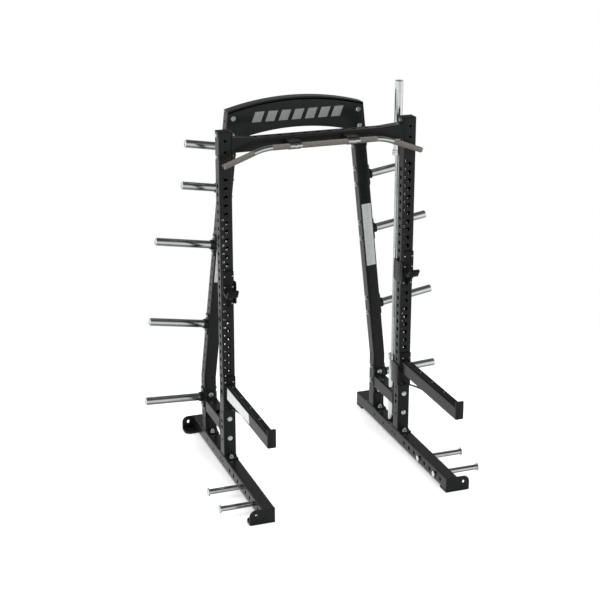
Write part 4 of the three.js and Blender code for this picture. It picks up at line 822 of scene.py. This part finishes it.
# Spotter arms: a tube with an end stop, a curved brace under it, a side plate and a pin
arm_half, arm_mid = 25.4, ARM_PIN_Z - 22
arm_low, arm_top = arm_mid - HALF, arm_mid + HALF
left, right = CENTRE - arm_half, CENTRE + arm_half
low, tab_low, tab_high = ARM_PIN_Z - 154, ARM_PIN_Z - 152, ARM_PIN_Z - 14
arm = square_tube(arm_half, HALF, -778.0, -SUNK, {}, r=5.0)
stop = [[left, arm_low], [right, arm_low], [right, arm_low + 112], [left, arm_low + 112]]
lower_edge = curved(*np.array([[-SUNK, low + 10], [-192.15, arm_low - 24], [-400, arm_low]]), 13)
upper_edge = np.minimum(lower_edge[::-1] + [0, 8], [np.inf, arm_low + 1])
cheek = [[-10, tab_low], [99, tab_low], [99, tab_high], [-10, tab_high]]
parts = [moved(p, (CENTRE, 0, arm_mid), X, Z, Y) for p in arm] + [
    facing("front", eased(stop, 7), THICK, -785, 1.2),
    front_plate(INNER, OUTER - GAP, low, ARM_PIN_Z + 68, tab_low, tab_high, 7),
    facing("right", np.concatenate([lower_edge, upper_edge]), 10, CENTRE + 5, 0.4),
    facing("right", eased(cheek, 9), THICK, CHEEK_OUT),
    lathe(PIN, (CENTRE, 0, ARM_PIN_Z), Y, 32),
    moved(bead(arm_half, HALF, 3.0), (CENTRE, -FACE, arm_mid), X, Z, Y),
]
pair("spotter_arm", parts, COAT, "{}_spotter_arm", ["spotter_arm"])

# The arm's plastic strip on top and pad on its front plate, with their screws
strip = facing("top", round_rect(CENTRE, (-776.7 - 34) / 2, 32, 742.7, 3), 12, arm_top + 12.3, 1.6)
pair("spotter_liner", [strip], PLASTIC, "{}_spotter_arm", ["spotter_liner"])
screws = [dome((CENTRE, y, arm_top + 12.1), Z, 5.0, 1.6) for y in np.linspace(-740, -80, 5)]
screws += [dome((x, PAD_Y, 590), -Y, 4.6, 2.0) for x in (552, 600)]
pair("spotter_screws", screws, ZINC, "{}_spotter_arm")
pad = facing("front", round_rect(CENTRE, ARM_PIN_Z + 43, 62, 50, 5), 10, PAD_Y, 1.6)
pair("spotter_pad", [pad], PLASTIC, "{}_spotter_arm", ["spotter_pad"])

# Thin bare plates on the rear uprights and the left arm, and two screws on the right tie
place = np.array([OUTER, REAR_Y - 0.9, BEND_Z])
thin_plate = slab(round_rect(-HALF, 834, 60, 408, 2), 0.8, place, LEAN_OUT, LEAN_UP, -Y, 0.3)
pair("rear_upright_plate", [thin_plate], PLATE)
small_screws = [dome(spot, Z, 4.0, 2.0) for spot in ((562, 308, 318.1), (556.7, 149.1, 318.1))]
piece("right_tie_screws", small_screws, ZINC, "rack")
shape = [[-464, 508], [-40, 490], [-44, 564], [-452, 564]]
thin_plate = facing("left", eased(shape, 3), 0.8, -right - 0.9, 0.3)
piece("left_spotter_plate", [thin_plate], SHEET, "left_spotter_arm")

# Studio: a pale floor that fades out, a wide soft lamp on the left, weaker ones in front and above
reach = 8.0
mesh = bpy.data.meshes.new("floor")
corners = [(-reach, -reach, 0), (reach, -reach, 0), (reach, reach, 0), (-reach, reach, 0)]
mesh.from_pydata(corners, [], [(0, 1, 2, 3)])
floor = bpy.data.objects.new("floor", mesh)
bpy.context.scene.collection.objects.link(floor)
# Matt pale floor paint: faintly cloudy, clear far from the object and in reflections
pale = bpy.data.materials.new("pale_floor")
pale.use_nodes = True
tree = pale.node_tree
tree.nodes.clear()
coords = put(tree, "ShaderNodeTexCoord").outputs["Object"]
rays = put(tree, "ShaderNodeLightPath").outputs
away = put(tree, "ShaderNodeVectorMath", {"operation": "LENGTH"}, {0: coords})
far = put(tree, "ShaderNodeMapRange", {"From Min": 1.3, "From Max": 2.6}, {"Value": away.outputs["Value"]})
fade = put(tree, "ShaderNodeMath", {"operation": "MAXIMUM"},
           {0: far.outputs["Result"], 1: rays["Is Glossy Ray"]})
cloud = put(tree, "ShaderNodeTexNoise", {"Scale": 1000 / 400, "Detail": 3.0}, {"Vector": coords})
cloudy = put(tree, "ShaderNodeMix", {"data_type": "RGBA", 6: linear("#ebebeb"), 7: linear("#efefef")},
             {"Factor": cloud.outputs["Fac"]})
plain = put(tree, "ShaderNodeBsdfDiffuse", links={"Color": cloudy.outputs[2]})
lifted = put(tree, "ShaderNodeMapRange", {"To Max": 0.4}, {"Value": rays["Is Camera Ray"]})
lift = put(tree, "ShaderNodeEmission", {"Color": grey(1.0)}, {"Strength": lifted.outputs["Result"]})
lit = put(tree, "ShaderNodeAddShader", links={0: plain.outputs[0], 1: lift.outputs[0]})
clear = put(tree, "ShaderNodeBsdfTransparent")
blend = put(tree, "ShaderNodeMixShader", links={0: fade.outputs[0], 1: lit.outputs[0], 2: clear.outputs[0]})
put(tree, "ShaderNodeOutputMaterial", links={"Surface": blend.outputs[0]})
mesh.materials.append(pale)


def lamp(name, place, aim, size, watts):
    """A square soft lamp at place that faces aim."""
    data = bpy.data.lights.new(name, "AREA")
    data.shape, data.size, data.energy = "SQUARE", size, watts
    made = bpy.data.objects.new(name, data)
    made.location = place
    made.rotation_euler = (Vector(aim) - Vector(place)).to_track_quat("-Z", "Y").to_euler()
    made.visible_glossy = False
    bpy.context.scene.collection.objects.link(made)


lamp("left_lamp", (-8.5, -0.6, 2.2), (0, 0, 1.0), 5.0, 250)
lamp("front_lamp", (2.5, -7.5, 4.5), (0, 0, 1.0), 4.0, 260)
lamp("top_lamp", (0.5, 0.5, 7.5), (0, 0, 0), 6.0, 200)

# World: white to the camera, even light on the object, and a graded studio in its reflections
world = bpy.data.worlds.new("studio")
bpy.context.scene.world = world
world.use_nodes = True
tree = world.node_tree
tree.nodes.clear()
rays = put(tree, "ShaderNodeLightPath").outputs
ways = put(tree, "ShaderNodeTexCoord").outputs["Generated"]
side_of, back_of, up_of = put(tree, "ShaderNodeSeparateXYZ", links={"Vector": ways}).outputs
upward = put(tree, "ShaderNodeMapRange", {"From Min": -1.0}, {"Value": up_of})
ramp = put(tree, "ShaderNodeValToRGB", links={"Fac": upward.outputs["Result"]})
steps = ramp.color_ramp.elements
steps[0].position, steps[0].color = 0.0, grey(0.19)
steps[1].position, steps[1].color = 1.0, grey(0.06)
for place, value in ((0.1, 0.24), (0.22, 0.45), (0.32, 0.76), (0.6, 0.72), (0.7, 0.5), (0.8, 0.1)):
    steps.new(place).color = grey(value)
sideways = put(tree, "ShaderNodeMath", {"operation": "ABSOLUTE"}, {0: side_of})
wide = put(tree, "ShaderNodeMapRange", {"From Min": 0.35, "From Max": 0.8, "To Min": 1.0, "To Max": 1.35},
           {"Value": sideways.outputs[0]})
ahead = put(tree, "ShaderNodeMath", {"operation": "MULTIPLY"},
            {0: ramp.outputs["Color"], 1: wide.outputs["Result"]})
on_left = put(tree, "ShaderNodeMapRange", {"From Min": -0.2, "From Max": 0.1, "To Min": 0.98, "To Max": 0.36},
              {"Value": side_of})
not_above = put(tree, "ShaderNodeMapRange", {"From Min": 0.35, "From Max": 0.7, "To Min": 1.0, "To Max": 0.3},
                {"Value": up_of})
behind = put(tree, "ShaderNodeMath", {"operation": "MULTIPLY"},
             {0: on_left.outputs["Result"], 1: not_above.outputs["Result"]})
share = put(tree, "ShaderNodeMapRange", {"From Min": 0.1, "From Max": 0.55}, {"Value": back_of})
glow = put(tree, "ShaderNodeMix", {"data_type": "FLOAT"},
           {"Factor": share.outputs["Result"], 2: ahead.outputs[0], 3: behind.outputs[0]}).outputs[0]
shine = put(tree, "ShaderNodeBackground", {"Color": grey(1.0)}, {"Strength": glow})
soft = put(tree, "ShaderNodeBackground", {"Color": grey(1.0), "Strength": 0.7})
white = put(tree, "ShaderNodeBackground", {"Color": grey(1.0), "Strength": 1.0})
first = put(tree, "ShaderNodeMixShader",
            links={0: rays["Is Glossy Ray"], 1: soft.outputs[0], 2: shine.outputs[0]})
through = put(tree, "ShaderNodeMath", {"operation": "MAXIMUM"},
              {0: rays["Is Camera Ray"], 1: rays["Is Transmission Ray"]})
seen = put(tree, "ShaderNodeMixShader", links={0: through.outputs[0], 1: first.outputs[0], 2: white.outputs[0]})
put(tree, "ShaderNodeOutputWorld", links={"Surface": seen.outputs[0]})

# Camera at the photograph's place
data = bpy.data.cameras.new("camera")
data.lens, data.sensor_width, data.clip_end = 89.43, 36.0, 60.0
camera = bpy.data.objects.new("camera", data)
camera.location = (-2.98364, -7.83306, 4.00203)
camera.rotation_euler = Vector((0.32186, 0.88660, -0.33203)).to_track_quat("-Z", "Y").to_euler()
bpy.context.scene.collection.objects.link(camera)
bpy.context.scene.camera = camera
bpy.context.scene.view_settings.view_transform = "Standard"
